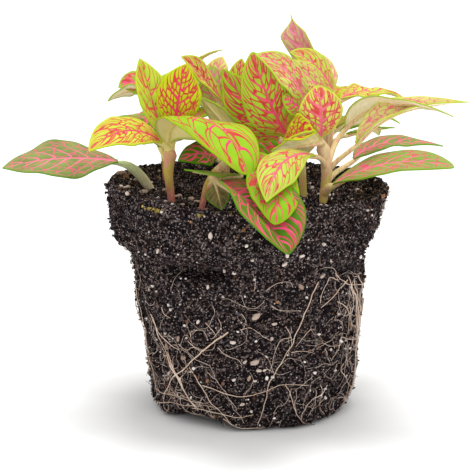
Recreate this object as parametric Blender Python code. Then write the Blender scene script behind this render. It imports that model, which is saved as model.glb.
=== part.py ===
"""A nerve plant with lime leaves and ruby veins, standing on the root ball that keeps its pot's shape.

Lengths are millimetres until a mesh is made, which is in metres. The origin is on the flat
face of the ball's foot, under the middle of its rim. Z is up, and the side to be seen looks
along -Y.
"""

import math
import random
from dataclasses import dataclass

import bmesh
import bpy
import numpy as np
from mathutils import Vector, noise

MM = 0.001

# The root ball: a collar that filled the pot's wide rim, over a body that filled its taper.
COLLAR_RADIUS = 50.5
COLLAR_FOOT_RADIUS = 49.0
BODY_RADIUS = 42.5
FOOT_RADIUS = 35.0
FOOT_ROUNDING = 5.0
FACE_SHARE = 0.95        # the flat face it stands on, as a share of the foot's lowest ring
BODY_TOP = 59.0
COLLAR_FOOT = 69.0
SOIL_TOP = 78.0
RIM_TOP = 82.5           # the rim stands higher than the soil in the middle
RIM_ROUNDING = 1.8
LEAN = 1.5               # how far the foot's middle lies to the right of the rim's
BALL_SIDES = 56
SIDE_HEIGHTS = [0.0, 1.4, 4.0, 9.0, 15.0, 21.0, 27.0, 33.0, 39.0, 45.0, 51.0, 58.0, 62.0, 66.0,
                69.0, 73.0, 77.5, 80.5, 82.1]
# The radius, the number of points and the height over the middle of each ring of the soil.
TOP_RINGS = [(46.0, 56, 2.8), (40.0, 28, 0.8), (31.0, 28, 0.0), (20.0, 14, 0.0), (10.0, 14, 0.0)]

# The ball's crumbly relief: how wide its lumps are and how high.
COARSE_SIZE = 17.0
COARSE_HEIGHT = 1.2
FINE_SIZE = 6.5
FINE_HEIGHT = 1.0
FINE_SHIFT = Vector((3, 1, 7))

# The piece of the foot's edge that has broken away.
CHIP_ANGLE = math.radians(240)
CHIP_WIDTH = math.radians(26)
CHIP_DEPTH = 4.0
CHIP_REACH = 9.0         # how far up the side it is felt
CHIP_RISE = 0.8          # how much the edge rises there for its depth

# The stems and their holes in the soil.
STEM_FOOT = 66.0
STEM_SIDES = 8
STEM_TAPER = 0.85
STEM_STEPS = 3
HOLE_GAP = 0.3
HOLE_SIDES = 10
HOLE_TOP = SOIL_TOP + 6.0

# The leaves. A place along a blade runs from 0 at its base to 1 at its tip.
BLADE_THICKNESS = 0.7
BLADE_END = 0.985
WAVES_ALONG = 1.5
WAVE_SHIFT = 1.7         # how much further on each leaf's waves are than those of the leaf before
STALK_HALF_WIDTH = 1.0
TIP_HALF_WIDTH = 0.45
STALK_HALF_DEPTH = 0.8
STALK_PLACES = (0.0, 0.3, 0.65)
STALK_RISE = 0.4         # how steeply a stalk leaves its stem
STALK_ARC = (162, 18)    # the degrees between which the upper half of a stalk's oval is drawn
SMALL_LEAF = 14.5        # a narrower leaf needs fewer faces
SMALL_GRID = (2, 5)      # faces across and along a blade
LARGE_GRID = (4, 7)
UP = (0.0, 0.0, 1.0)

# The roots that show on the ball.
ROOT_SIDES = 5
ROOT_STEPS = 2
ROOT_LIFT = 0.15
ROOT_DIVE = 3.0          # how far its ends turn into the ball
ROOT_TAPER = 0.75

# The crumbs of perlite pressed into the ball.
CRUMB_COUNT = 18
CRUMB_SEED = 7
CRUMB_SIZES = (1.0, 1.7)
CRUMB_HEIGHTS = (8, 72)
CRUMB_STRETCHES = (0.8, 1.2)
CRUMB_SCATTER = 0.7
CRUMB_SINK = 0.3         # as a share of its size


@dataclass
class Leaf:
    """A leaf by its midrib: where the blade starts, what it passes and where it ends."""

    node: float          # height on the stem where the stalk leaves it
    spine: list
    width: float
    face: tuple = UP     # the way the upper side looks at the base
    face_tip: tuple = None
    fold: float = 8.0    # how far each half is lifted to the upper side, in degrees
    fold_tip: float = None
    roll: float = 0.10   # how far the margins turn back, as a share of the half width
    wave: float = 0.08   # how far the margins wave, as a share of the half width
    peak: float = 0.42   # where along the blade it is widest
    heel: float = 0.75   # how wedge-like its base is
    point: float = 0.9   # how drawn out its tip is
    turn: float = 1.0    # below one, the face turns early


@dataclass
class Stem:
    """A stem by its axis above the soil, from the soil up."""

    name: str
    points: list
    radius: float
    leaves: list


@dataclass
class Root:
    """A root on the ball's side, by (angle in degrees from +X, height) points."""

    points: list
    radius: float


STEMS = [
    Stem("stem_left", [(-27, -15, 80), (-28, -15, 90), (-27, -15, 98)], 1.8, [
        Leaf(97, [(-30, -17, 101), (-42.5, -26, 106.5), (-54.5, -37, 101.5)], 15.5, (0.1, -0.7, 0.9),
             (-0.3, -0.8, 0.8), peak=0.5, heel=0.9, point=0.8),
        Leaf(96, [(-27, -13, 99.5), (-23.5, -18, 109.5), (-9.5, -31, 108.5), (0.5, -44, 95)], 24,
             (0.2, 0.9, 0.1), (0.1, -0.6, 0.8), fold=-42, fold_tip=6, peak=0.52, heel=0.6, point=0.6,
             turn=0.55),
        Leaf(97, [(-25.5, -12, 105), (-24, -13, 118), (-21.5, -12, 128)], 16, (0.0, -1.0, 0.2), fold=6,
             heel=0.6, peak=0.42),
        Leaf(95, [(-30.5, -11, 103), (-34.5, -6, 116), (-38.5, 1, 128)], 16, (0.6, -1.0, 0.1), fold=30),
        Leaf(91, [(-31, -9, 98), (-36, 0, 104), (-43, 10, 104)], 11, (0.0, -0.1, 1.0)),
    ]),
    Stem("stem_low_left", [(-35, 3, 79), (-37, 2, 83)], 1.5, [
        Leaf(82, [(-46.5, 0, 91), (-67, -6, 93), (-87, -11, 90.5)], 17, (0.0, -0.6, 0.8), fold=2,
             wave=0.2, peak=0.45, heel=0.9),
    ]),
    Stem("stem_front", [(-16, -27, 80), (-14, -25, 87), (-10, -23, 93)], 1.4, [
        Leaf(89, [(-9.5, -32, 90), (3, -52, 83.5), (13.5, -62, 71)], 30, (0.36, -0.55, 0.8), fold=36,
             peak=0.66, point=0.6),
        Leaf(92, [(2, -32, 100.5), (8.5, -49, 91.5), (8.5, -61, 81)], 17.5, (0.1, -0.7, 0.6), fold=4,
             peak=0.48, point=0.65),
        Leaf(87, [(-3, -29, 92), (-12, -33, 93), (-22, -36, 95)], 10, (0.0, 0.1, 1.0), fold=2),
        Leaf(86, [(-11, -27, 89), (-10, -31, 85), (-9, -33, 80)], 10, (0.2, 0.9, 0.3), fold=2),
    ]),
    Stem("stem_centre_left", [(-8, 8, 80), (-7, 7, 95), (-6, 7, 106)], 1.5, [
        Leaf(104, [(-7, 6, 109.5), (-15, 3, 120), (-23.5, -1, 129)], 12, (0.6, -0.6, 0.8), fold=25,
             peak=0.62, heel=1.1),
        Leaf(98, [(-3, -4, 100), (-9, -8, 106), (-16, -8, 112)], 12, (0.2, 0.8, 0.5), fold=4),
        Leaf(105, [(-11, 8, 111), (-12, 8, 117), (-13, 9, 124)], 12, (0.1, -1.0, 0.4), fold=6,
             point=0.7),
        Leaf(105, [(-19, 12, 125), (-15, 11, 128), (-9, 9, 130)], 5, (-0.3, 0.1, 1.0), (0.0, 0.1, 1.0),
             fold=4),
        Leaf(103, [(-12, 14, 114), (-11, 16, 121), (-9, 19, 126)], 9, (0.0, 0.9, 0.4), fold=4),
        Leaf(106, [(-3, 11, 113), (-3, 13, 120), (-2, 15, 126)], 8, (0.0, -1.0, 0.3), fold=4),
        Leaf(86, [(-11, 4, 90), (-17, 1, 92), (-25, -3, 90)], 14, (0.0, -0.6, 0.8), fold=4),
        Leaf(92, [(-2, 10, 97), (6, 13, 101), (15, 16, 98)], 14),
    ]),
    Stem("stem_centre", [(20, -6, 80), (19, -6, 92), (17, -6, 99)], 1.7, [
        Leaf(98, [(14, -9, 102), (7, -14, 116), (1.5, -11, 132)], 19, (-0.1, -1.0, 0.25)),
        Leaf(94, [(11, -4, 100), (1, -2, 110), (-9, 3, 124)], 18, (-0.2, -1.0, 0.3), fold=6),
        Leaf(98, [(20.5, -8, 113), (13.5, -14, 125.5), (2.5, -17, 132)], 13, (0.5, -0.8, 0.7)),
        Leaf(97, [(12.5, -17, 102), (18, -21, 103.5), (23.5, -24, 105.5)], 17.5, (0.0, -0.7, 0.7),
             fold=48, peak=0.6, heel=1.2, point=0.6),
        Leaf(99, [(19.5, -12, 111.5), (16, -15, 114.5), (12, -17, 117)], 9, (0.2, -1.0, 0.5), fold=4,
             point=0.7),
    ]),
    Stem("stem_right", [(27, -12, 80), (28, -12, 91), (26, -13, 100)], 2.0, [
        Leaf(90, [(19.5, -23, 97), (11, -45, 98), (6, -59, 88.5)], 13.5, (0.2, -0.6, 0.9), fold=2,
             roll=0.2, peak=0.52),
        Leaf(99, [(25.5, -17, 102.5), (25.5, -20, 112), (24, -17, 121)], 15.5, (0.0, -1.0, 0.25),
             peak=0.55, heel=0.85, point=0.75),
        Leaf(98, [(24.5, -16, 101), (17, -22, 99.5), (8, -26, 99.5)], 10, (0.0, 0.6, 0.9)),
        Leaf(91, [(35, -3, 104), (50.5, -10, 113.5), (71.5, -22, 111)], 13, (0.0, 0.8, 0.75),
             (0.0, 0.4, 1.0), fold=6, peak=0.36, point=1.2),
        Leaf(89, [(38, -14, 100), (48, -13, 108.5), (60.5, -11, 112.5), (78, -9, 114)], 13,
             (-0.2, -0.4, 1.0), fold=40, peak=0.38, point=1.1),
        Leaf(81, [(30, -16, 86), (50, -27, 95.5), (70.5, -38, 96)], 16, (-0.1, -0.4, 1.0), wave=0.04,
             heel=0.9, point=0.65),
        Leaf(85, [(38, 0, 92), (51, 4, 97), (71, 8, 95)], 14, (0.1, -0.1, 1.0), point=1.1),
    ]),
    Stem("stem_back_right", [(29, 16, 80), (30, 15, 100), (29, 14, 111)], 1.7, [
        Leaf(110, [(26, 15, 116.5), (20, 15, 128.5), (15.5, 12, 142)], 13, (-0.5, -0.8, 0.2), fold=35,
             peak=0.78, heel=0.6, point=3.0),
        Leaf(109, [(31, 9, 115), (24, 6, 125), (15, 2, 130)], 12, (0.4, -0.8, 0.8), fold=6),
        Leaf(108, [(30, 5, 113), (24, -1, 123), (16, -5, 129)], 10, (0.4, -0.8, 0.8), fold=6),
        Leaf(109, [(28, 19, 115), (27, 20, 121.5), (23.5, 22, 127)], 9, (0.6, -0.8, 0.3)),
        Leaf(104, [(34, 17, 111), (46, 22, 113), (59, 26, 109)], 15, (0.0, -0.1, 1.0), wave=0.2),
        Leaf(92, [(36, 12, 99), (45, 15, 100), (54, 18, 100)], 11, (0.0, 0.2, 0.9), fold=4),
    ]),
    Stem("stem_back_left", [(-26, 20, 80), (-28, 20, 98), (-29, 19, 108)], 1.6, [
        Leaf(105, [(-34, 18, 111), (-42, 18, 114), (-51, 17, 110)], 12, (0.1, 0.5, 1.0), fold=4),
        Leaf(107, [(-36, 20, 114), (-41, 19, 116.5), (-47, 17, 115)], 11, (0.1, -0.7, 0.7), fold=4),
        Leaf(90, [(-33, 28, 97), (-42, 38, 101), (-51, 47, 93)], 23),
        Leaf(106, [(-25, 27, 110), (-21, 37, 116), (-19, 50, 109)], 21),
        Leaf(98, [(-22, 24, 101), (-14, 32, 104), (-4, 40, 100)], 15),
        Leaf(93, [(-24, 14, 98), (-20, 5, 102), (-17, -5, 99)], 15),
        Leaf(92, [(-33, 17, 97), (-43, 14, 101), (-54, 10, 96)], 15),
    ]),
    Stem("stem_back", [(4, 26, 80), (3, 26, 95), (2, 25, 104)], 1.6, [
        Leaf(102, [(-3, 28, 108), (-8, 29, 115), (-13, 29, 122)], 15, (0.5, 0.3, 0.8)),
        Leaf(100, [(-3, 32, 105), (-10, 43, 109), (-17, 54, 101)], 20),
        Leaf(101, [(6, 32, 104), (12, 43, 109), (15, 55, 103)], 19),
        Leaf(88, [(5, 35, 92), (5, 47, 93), (4, 60, 85)], 23),
        Leaf(103, [(4, 22, 109), (7, 19, 117), (9, 15, 126)], 15, (0.2, 0.9, 0.4)),
        Leaf(93, [(-1, 23, 97), (-9, 20, 100), (-18, 16, 96)], 14),
    ]),
    Stem("stem_rear_right", [(29, 31, 80), (28, 33, 92), (27, 34, 100)], 1.6, [
        Leaf(90, [(31, 40, 94), (41, 49, 97), (51, 58, 90)], 22),
        Leaf(98, [(28, 40, 104), (34, 48, 110), (41, 57, 105)], 18),
        Leaf(99, [(23, 36, 109), (18, 35, 117), (9, 35, 122)], 15, (0.5, 0.3, 0.9)),
        Leaf(93, [(33, 31, 98), (44, 32, 103), (57, 33, 99)], 16),
        Leaf(94, [(22, 28, 98), (16, 24, 102), (11, 18, 103)], 13),
    ]),
]

ROOTS = [
    Root([(258, 36), (246, 29), (235, 21), (226, 10)], 0.7),
    Root([(229, 32), (235, 21), (243, 9), (248, 4)], 0.9),
    Root([(244, 24), (252, 15), (259, 6)], 0.7),
    Root([(309, 55), (299, 43), (290, 33), (280, 22), (276, 14), (272, 4)], 0.8),
    Root([(247, 18), (257, 14), (267, 12), (280, 15), (292, 18), (300, 19)], 0.7),
    Root([(283, 17), (287, 11), (295, 4)], 0.7),
    Root([(310, 18), (302, 12), (295, 8)], 0.7),
    Root([(325, 56), (312, 46)], 0.8),
    Root([(335, 55), (336, 40), (338, 25)], 0.8),
    Root([(208, 46), (216, 34), (222, 29)], 0.7),
    Root([(20, 52), (35, 40), (42, 26), (60, 16)], 0.8),
    Root([(70, 55), (78, 38), (95, 24), (100, 10)], 0.9),
    Root([(120, 48), (108, 34), (112, 18), (125, 6)], 0.8),
    Root([(150, 56), (160, 40), (152, 22), (165, 8)], 0.8),
    Root([(180, 40), (192, 26), (186, 12)], 0.7),
    Root([(350, 42), (5, 28), (18, 14), (30, 8)], 0.8),
]

MATERIALS = {
    "potting_mix": ((0.035, 0.025, 0.020), 0.95),
    "leaf": ((0.42, 0.55, 0.06), 0.45),
}


def unit(vectors):
    """The vectors, each made one long."""
    vectors = np.asarray(vectors, float)
    return vectors / np.linalg.norm(vectors, axis=-1, keepdims=True)


def clear_scene():
    for obj in list(bpy.data.objects):
        bpy.data.objects.remove(obj, do_unlink=True)


def material(name):
    """The material of that name, made the first time it is asked for."""
    found = bpy.data.materials.get(name)
    if found:
        return found
    colour, roughness = MATERIALS[name]
    made = bpy.data.materials.new(name)
    made.use_nodes = True
    shader = made.node_tree.nodes["Principled BSDF"]
    shader.inputs["Base Color"].default_value = (*colour, 1.0)
    shader.inputs["Roughness"].default_value = roughness
    shader.inputs["Metallic"].default_value = 0.0
    return made


def mesh_object(name, points, faces, finish, collection=None):
    """A mesh object of points in millimetres."""
    mesh = bpy.data.meshes.new(name)
    mesh.from_pydata([Vector(p) * MM for p in points], [], faces)
    mesh.materials.append(material(finish))
    made = bpy.data.objects.new(name, mesh)
    (collection or bpy.context.scene.collection).objects.link(made)
    return made


def helpers(name):
    """A collection for bodies that are about to be joined to another or to cut it."""
    made = bpy.data.collections.new(name)
    bpy.context.scene.collection.children.link(made)
    return made


def combine(base, others, operation):
    """Join the collection's bodies to the base or cut it with them, and remove them."""
    change = base.modifiers.new(others.name, "BOOLEAN")
    change.operation = operation
    change.solver = "MANIFOLD"
    change.operand_type = "COLLECTION"
    change.collection = others
    bpy.ops.object.select_all(action="DESELECT")
    base.select_set(True)
    bpy.context.view_layer.objects.active = base
    bpy.ops.object.modifier_apply(modifier=change.name)
    for obj in list(others.objects):
        bpy.data.objects.remove(obj, do_unlink=True)
    bpy.data.collections.remove(others)


def loft(rings):
    """Points and triangles of a closed body through rings of equally many points.

    Each ring runs over the upper side and back under the lower one, and both sides are split alike.
    """
    count = len(rings[0])
    half = count // 2
    faces = []
    for ring in range(len(rings) - 1):
        low, high = ring * count, (ring + 1) * count
        for i in range(count):
            j = (i + 1) % count
            if i < half:
                faces += [(low + i, low + j, high + i), (low + j, high + j, high + i)]
            else:
                faces += [(low + i, low + j, high + j), (low + i, high + j, high + i)]
    last = (len(rings) - 1) * count
    for i in range(half - 1):
        a, b, c, d = i, i + 1, count - 2 - i, count - 1 - i
        faces += [(b, a, c), (a, d, c)]
        faces += [(last + a, last + b, last + c), (last + a, last + c, last + d)]
    return np.concatenate(rings), faces


def tube(points, radii, sides):
    """A round tube through the points, with flat ends."""
    points = np.asarray(points, float)
    along = unit(np.gradient(points, axis=0))
    side = unit(np.cross(along[0], (0.3, 0.9, 0.2)))
    turns = np.arange(sides) * 2 * math.pi / sides
    rings = []
    for point, way, radius in zip(points, along, radii):
        side = unit(side - way * (side @ way))
        over = np.cross(way, side)
        rings.append(point + radius * (np.outer(np.cos(turns), side) + np.outer(np.sin(turns), over)))
    faces = []
    for ring in range(len(rings) - 1):
        low, high = ring * sides, (ring + 1) * sides
        for i in range(sides):
            j = (i + 1) % sides
            faces.append((low + i, low + j, high + j, high + i))
    faces.append(tuple(reversed(range(sides))))
    faces.append(tuple(range((len(rings) - 1) * sides, len(rings) * sides)))
    return np.concatenate(rings), faces


def smooth_path(points, steps):
    """Points along a smooth curve through the given points, with so many steps between each two."""
    points = np.asarray(points, float)
    ends = np.concatenate([[2 * points[0] - points[1]], points, [2 * points[-1] - points[-2]]])
    path = []
    for before, start, end, after in zip(ends, ends[1:], ends[2:], ends[3:]):
        for step in range(steps):
            t = step / steps
            path.append(0.5 * (2 * start + (end - before) * t
                               + (2 * before - 5 * start + 4 * end - after) * t ** 2
                               + (3 * start - before - 3 * end + after) * t ** 3))
    path.append(points[-1])
    return np.array(path)


def half_width(leaf, v):
    """Half the blade's width at the places v along it."""
    rise = np.sin(math.pi / 2 * np.minimum(v / leaf.peak, 1)) ** leaf.heel
    fall = np.cos(math.pi / 2 * np.clip((v - leaf.peak) / (1 - leaf.peak), 0, 1)) ** leaf.point
    least = STALK_HALF_WIDTH * (1 - v) + TIP_HALF_WIDTH * v
    return np.maximum(leaf.width / 2 * rise * fall, least)


def midrib(leaf, v):
    """The midrib's points and directions, and the way the upper side looks there."""
    spine = np.array(leaf.spine, float)
    powers = np.polyfit(np.linspace(0, 1, len(spine)), spine, len(spine) - 1)
    points = np.column_stack([np.polyval(powers[:, axis], v) for axis in range(3)])
    along = unit(np.column_stack([np.polyval(np.polyder(powers[:, axis]), v) for axis in range(3)]))
    share = (v ** leaf.turn)[:, None]
    face = unit(leaf.face) * (1 - share) + unit(leaf.face_tip or leaf.face) * share
    return points, along, unit(face - along * (face * along).sum(axis=1, keepdims=True))


def folds(leaf, v):
    """How far each half is lifted at the places v along the blade, in radians."""
    last = leaf.fold if leaf.fold_tip is None else leaf.fold_tip
    share = v ** leaf.turn
    return np.radians(leaf.fold * (1 - share) + last * share)


def blade_surface(leaf, across, along_count, phase):
    """The blade's middle surface as a grid of points, and the normals of its upper side."""
    v = np.linspace(0, BLADE_END, along_count + 1)
    u = np.linspace(-1, 1, across + 1)
    points, along, face = midrib(leaf, v)
    side = np.cross(along, face)
    half = half_width(leaf, v)[:, None]
    half[-1] = TIP_HALF_WIDTH
    fold = folds(leaf, v)[:, None]
    v = v[:, None]
    swing = np.sin(2 * math.pi * WAVES_ALONG * v + phase + np.sign(u)) * np.sin(math.pi * v)
    lift = np.abs(u) * np.sin(fold) + (leaf.wave * swing - leaf.roll) * u ** 2
    grid = (points[:, None] + side[:, None] * (half * u * np.cos(fold))[..., None]
            + face[:, None] * (half * lift)[..., None])
    return grid, unit(np.cross(np.gradient(grid, axis=1), np.gradient(grid, axis=0)))


def stalk_rings(leaf, path, across, along, face):
    """Oval rings of the leaf stalk, from inside the stem to just before the blade."""
    start = np.array([np.interp(leaf.node, path[:, 2], path[:, axis]) for axis in range(3)])
    base = np.array(leaf.spine[0], float)
    reach = np.linalg.norm(base - start)
    leave = unit(base - start + np.array([0, 0, STALK_RISE * reach]))
    turns = np.radians(np.linspace(*STALK_ARC, across + 1))
    rings = []
    for t in STALK_PLACES:
        point = ((1 + 2 * t) * (1 - t) ** 2 * start + t * (1 - t) ** 2 * reach * leave
                 + t ** 2 * (3 - 2 * t) * base + t ** 2 * (t - 1) * reach * along)
        way = unit(leave * (1 - t) + along * t)
        over = unit(face - way * (face @ way))
        sideways = np.outer(np.cos(turns), np.cross(way, over)) * STALK_HALF_WIDTH
        upwards = np.outer(np.sin(turns), over) * STALK_HALF_DEPTH
        rings.append(np.concatenate([point + sideways + upwards, (point + sideways - upwards)[::-1]]))
    return rings


def leaf_mesh(leaf, path, phase):
    """A closed leaf: its stalk, sunk in the stem, and its blade, of even thickness."""
    across, along_count = SMALL_GRID if leaf.width < SMALL_LEAF else LARGE_GRID
    grid, normals = blade_surface(leaf, across, along_count, phase)
    along, face = midrib(leaf, np.zeros(1))[1:]
    rings = stalk_rings(leaf, path, across, along[0], face[0])
    for row, ways in zip(grid, normals):
        upper = row + ways * BLADE_THICKNESS / 2
        lower = row - ways * BLADE_THICKNESS / 2
        rings.append(np.concatenate([upper, lower[::-1]]))
    return loft(rings)


def stem_path(stem):
    """The stem's axis, straight in its hole and curved above."""
    foot = (stem.points[0][0], stem.points[0][1], STEM_FOOT)
    return np.concatenate([[foot], smooth_path(stem.points, STEM_STEPS)])


def leafy_stem(stem):
    """A stem with its leaves grown onto it."""
    path = stem_path(stem)
    radii = stem.radius * np.linspace(1.0, STEM_TAPER, len(path))
    points, faces = tube(path, radii, STEM_SIDES)
    body = mesh_object(stem.name, points, faces, "leaf")
    leaves = helpers(stem.name + " leaves")
    for number, leaf in enumerate(stem.leaves):
        points, faces = leaf_mesh(leaf, path, WAVE_SHIFT * number)
        mesh_object(f"{stem.name} leaf {number}", points, faces, "leaf", leaves)
    combine(body, leaves, "UNION")


def relief(point):
    """How far the crumbly relief stands out at a point of the ball."""
    coarse = noise.noise(Vector(point) / COARSE_SIZE)
    fine = noise.noise(Vector(point) / FINE_SIZE + FINE_SHIFT)
    return COARSE_HEIGHT * coarse + FINE_HEIGHT * fine


def ball_radius(height):
    """The ball's radius at a height, before its relief."""
    heights = (0.0, BODY_TOP, COLLAR_FOOT, RIM_TOP)
    radii = (FOOT_RADIUS, BODY_RADIUS, COLLAR_FOOT_RADIUS, COLLAR_RADIUS)
    radius = np.interp(height, heights, radii)
    below = max(0.0, FOOT_ROUNDING - height)
    radius -= FOOT_ROUNDING - math.sqrt(FOOT_ROUNDING ** 2 - below ** 2)
    above = max(0.0, height - RIM_TOP + RIM_ROUNDING)
    radius -= RIM_ROUNDING - math.sqrt(RIM_ROUNDING ** 2 - above ** 2)
    return radius


def outward(angle):
    return np.array([math.cos(angle), math.sin(angle), 0.0])


def side_point(angle, height, lift=0.0):
    """The point of the ball's side at an angle and a height."""
    lean = LEAN * (1 - height / SOIL_TOP)
    point = outward(angle) * ball_radius(height) + (lean, 0, height)
    return point + outward(angle) * (relief(point) + lift)


def chip(angle, height):
    """How far the foot's edge is broken away at an angle and a height."""
    turn = (angle - CHIP_ANGLE + math.pi) % (2 * math.pi) - math.pi
    return CHIP_DEPTH * math.exp(-(turn / CHIP_WIDTH) ** 4) * max(0.0, 1 - height / CHIP_REACH)


def side_rings():
    """The rings of points up the ball's side, from the flat face that it stands on."""
    rings = []
    for height in SIDE_HEIGHTS:
        ring = []
        for number in range(BALL_SIDES):
            angle = number * 2 * math.pi / BALL_SIDES
            broken = chip(angle, height)
            point = side_point(angle, height) - outward(angle) * broken
            if height > 0:
                point[2] += CHIP_RISE * broken
            else:
                point[:2] *= FACE_SHARE
            ring.append(point)
        rings.append(ring)
    return rings


def top_ring(radius, sides, rise):
    """A ring of points on the uneven soil on top."""
    ring = []
    for number in range(sides):
        point = outward(number * 2 * math.pi / sides) * radius + (0, 0, SOIL_TOP + rise)
        ring.append(point + (0, 0, relief(point)))
    return ring


def bridge(outer, inner, start):
    """Triangles from a ring to the next one, which has as many points or half as many."""
    step = len(outer) // len(inner)
    far = start + len(outer)
    faces = []
    for i in range(len(inner)):
        j = (i + 1) % len(inner)
        first = start + i * step
        last = start + (i + 1) * step % len(outer)
        faces += [(first, first + 1, far + i)] if step > 1 else []
        middle = first + step - 1
        faces += [(middle, last, far + j), (middle, far + j, far + i)]
    return faces


def root_ball():
    """The ball, its roots and crumbs grown onto it, and the holes that the stems stand in."""
    rings = side_rings() + [top_ring(*ring) for ring in TOP_RINGS]
    points = []
    faces = [tuple(reversed(range(BALL_SIDES)))]
    for outer, inner in zip(rings, rings[1:]):
        faces += bridge(outer, inner, len(points))
        points += outer
    faces.append(tuple(range(len(points), len(points) + len(rings[-1]))))
    points += rings[-1]
    ball = mesh_object("root_ball", points, faces, "potting_mix")
    grown = helpers("roots and crumbs")
    for number, root in enumerate(ROOTS):
        points, faces = root_mesh(root)
        mesh_object(f"root {number}", points, faces, "potting_mix", grown)
    for number in range(CRUMB_COUNT):
        crumb(number, grown)
    combine(ball, grown, "UNION")
    cut_stem_holes(ball)


def root_mesh(root):
    """A root along the ball's side, half sunk, with its ends turned in."""
    angles = np.unwrap(np.radians([angle for angle, height in root.points]))
    places = [side_point(angle, point[1], ROOT_LIFT) for angle, point in zip(angles, root.points)]
    path = smooth_path(places, ROOT_STEPS)
    ends = path[[0, -1]]
    ends[:, :2] *= 1 - ROOT_DIVE / np.linalg.norm(ends[:, :2], axis=1, keepdims=True)
    path = np.concatenate([ends[:1], path, ends[1:]])
    return tube(path, root.radius * np.linspace(1.0, ROOT_TAPER, len(path)), ROOT_SIDES)


def crumb(number, collection):
    """A crumb of perlite, pressed into the ball's side by more than half."""
    chance = random.Random(CRUMB_SEED * 1000 + number)
    angle = 2 * math.pi * (number + chance.random() * CRUMB_SCATTER) / CRUMB_COUNT
    height = chance.uniform(*CRUMB_HEIGHTS)
    size = chance.uniform(*CRUMB_SIZES)
    place = side_point(angle, height, -CRUMB_SINK * size)
    stretch = Vector([chance.uniform(*CRUMB_STRETCHES) for _ in range(3)])
    made = bmesh.new()
    bmesh.ops.create_icosphere(made, subdivisions=1, radius=size)
    points = [Vector(place) + vertex.co * stretch for vertex in made.verts]
    faces = [[vertex.index for vertex in face.verts] for face in made.faces]
    made.free()
    mesh_object(f"crumb {number}", points, faces, "potting_mix", collection)


def cut_stem_holes(ball):
    """A plain hole for each stem."""
    cutters = helpers("stem holes")
    for stem in STEMS:
        x, y = stem.points[0][:2]
        radius = (stem.radius + HOLE_GAP) / math.cos(math.pi / HOLE_SIDES)
        ends = [(x, y, STEM_FOOT - HOLE_GAP), (x, y, HOLE_TOP)]
        points, faces = tube(ends, [radius, radius], HOLE_SIDES)
        mesh_object("hole for " + stem.name, points, faces, "potting_mix", cutters)
    combine(ball, cutters, "DIFFERENCE")


clear_scene()
root_ball()
for one_stem in STEMS:
    leafy_stem(one_stem)
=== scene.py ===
# %% [markdown]
# # A nerve plant standing on its root ball
#
# The plant has been knocked out of its nursery pot. The black ball of potting mix keeps the pot's wide
# rim and its taper, and fine roots hold it together. Ten short stems rise from it with lime leaves
# that carry a net of ruby and pink veins.
#
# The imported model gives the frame: where the ball stands and where each leafy stem goes. Everything
# that is seen is made here around it, finer than the solids and in the same places.

import math
import random
from dataclasses import dataclass

import bpy
import numpy as np
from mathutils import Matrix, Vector, noise


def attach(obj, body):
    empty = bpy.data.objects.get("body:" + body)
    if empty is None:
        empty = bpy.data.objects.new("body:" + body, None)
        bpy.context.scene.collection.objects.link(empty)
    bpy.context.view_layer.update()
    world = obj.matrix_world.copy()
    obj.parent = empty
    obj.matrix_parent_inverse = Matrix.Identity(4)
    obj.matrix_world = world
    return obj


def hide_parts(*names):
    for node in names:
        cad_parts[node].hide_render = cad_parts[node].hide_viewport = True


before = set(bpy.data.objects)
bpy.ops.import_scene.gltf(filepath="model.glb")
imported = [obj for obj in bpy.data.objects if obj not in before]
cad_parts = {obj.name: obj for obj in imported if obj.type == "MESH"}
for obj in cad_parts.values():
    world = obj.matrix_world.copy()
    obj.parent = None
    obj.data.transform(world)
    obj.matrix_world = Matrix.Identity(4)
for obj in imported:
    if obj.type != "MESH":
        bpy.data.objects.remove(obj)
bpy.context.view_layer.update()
MM = 0.001
print("nodes in the frame:", ", ".join(sorted(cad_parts)))

# %% [markdown]
# ## The camera
#
# The photograph was taken from a little above the leaves with a long lens, because the rim of the ball
# shows as a flat ellipse and its sides hardly converge. A long lens far away gives the same.
# The camera comes first, so that every later step can be looked at from there.

# %% Camera
CAMERA_PLACE = (-0.0045, -0.800, 0.244)
CAMERA_TILT = math.radians(90 - 12.7)
CAMERA_LENS = 173.5

bpy.ops.object.select_all(action="DESELECT")
bpy.ops.object.camera_add(location=CAMERA_PLACE, rotation=(CAMERA_TILT, 0, 0))
camera = bpy.context.object
camera.name = "photo_camera"
camera.data.lens = CAMERA_LENS
camera.data.sensor_width = 36.0
camera.data.clip_start = 0.05
camera.data.clip_end = 20.0
bpy.context.scene.camera = camera
print("camera", round(camera.location.length, 3), "m from the ball's foot")

# %% [markdown]
# ## Floor, light and how colours are shown
#
# The picture has a white ground and a soft, nearly shadowless light, as in a light tent. A wide pale
# floor and an even sky give that. Of the two lamps, a very soft one in front and a little to the right
# lights the leaves, and one overhead keeps the shadow short and close round the ball's foot. The
# leaves' limes and pinks are stronger than the filmic view would show, so colours are shown with the
# plain standard view.

# %% Floor and light
FLOOR_SIZE = 12.0
FLOOR_PLACE = (0, 3.0, 0)
FLOOR_WHITE = (0.9, 0.9, 0.9, 1)
SKY_STRENGTH = 0.8
LAMPS = (   # name, turn in degrees, softness in degrees, strength
    ("front_lamp", (44, 0, 14), 60, 0.7),
    ("top_lamp", (-10, 3, 0), 24, 1.8),
)
LAMP_PLACE = (0.5, -0.5, 1.5)

bpy.ops.object.select_all(action="DESELECT")
bpy.ops.mesh.primitive_plane_add(size=FLOOR_SIZE, location=FLOOR_PLACE)
floor = bpy.context.object
floor.name = "floor"
floor_paint = bpy.data.materials.new("pale_floor")
floor_paint.use_nodes = True
floor_shader = floor_paint.node_tree.nodes["Principled BSDF"]
floor_shader.inputs["Base Color"].default_value = FLOOR_WHITE
floor_shader.inputs["Roughness"].default_value = 0.9
floor_shader.inputs["Specular IOR Level"].default_value = 0.1
floor.data.materials.append(floor_paint)

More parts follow.
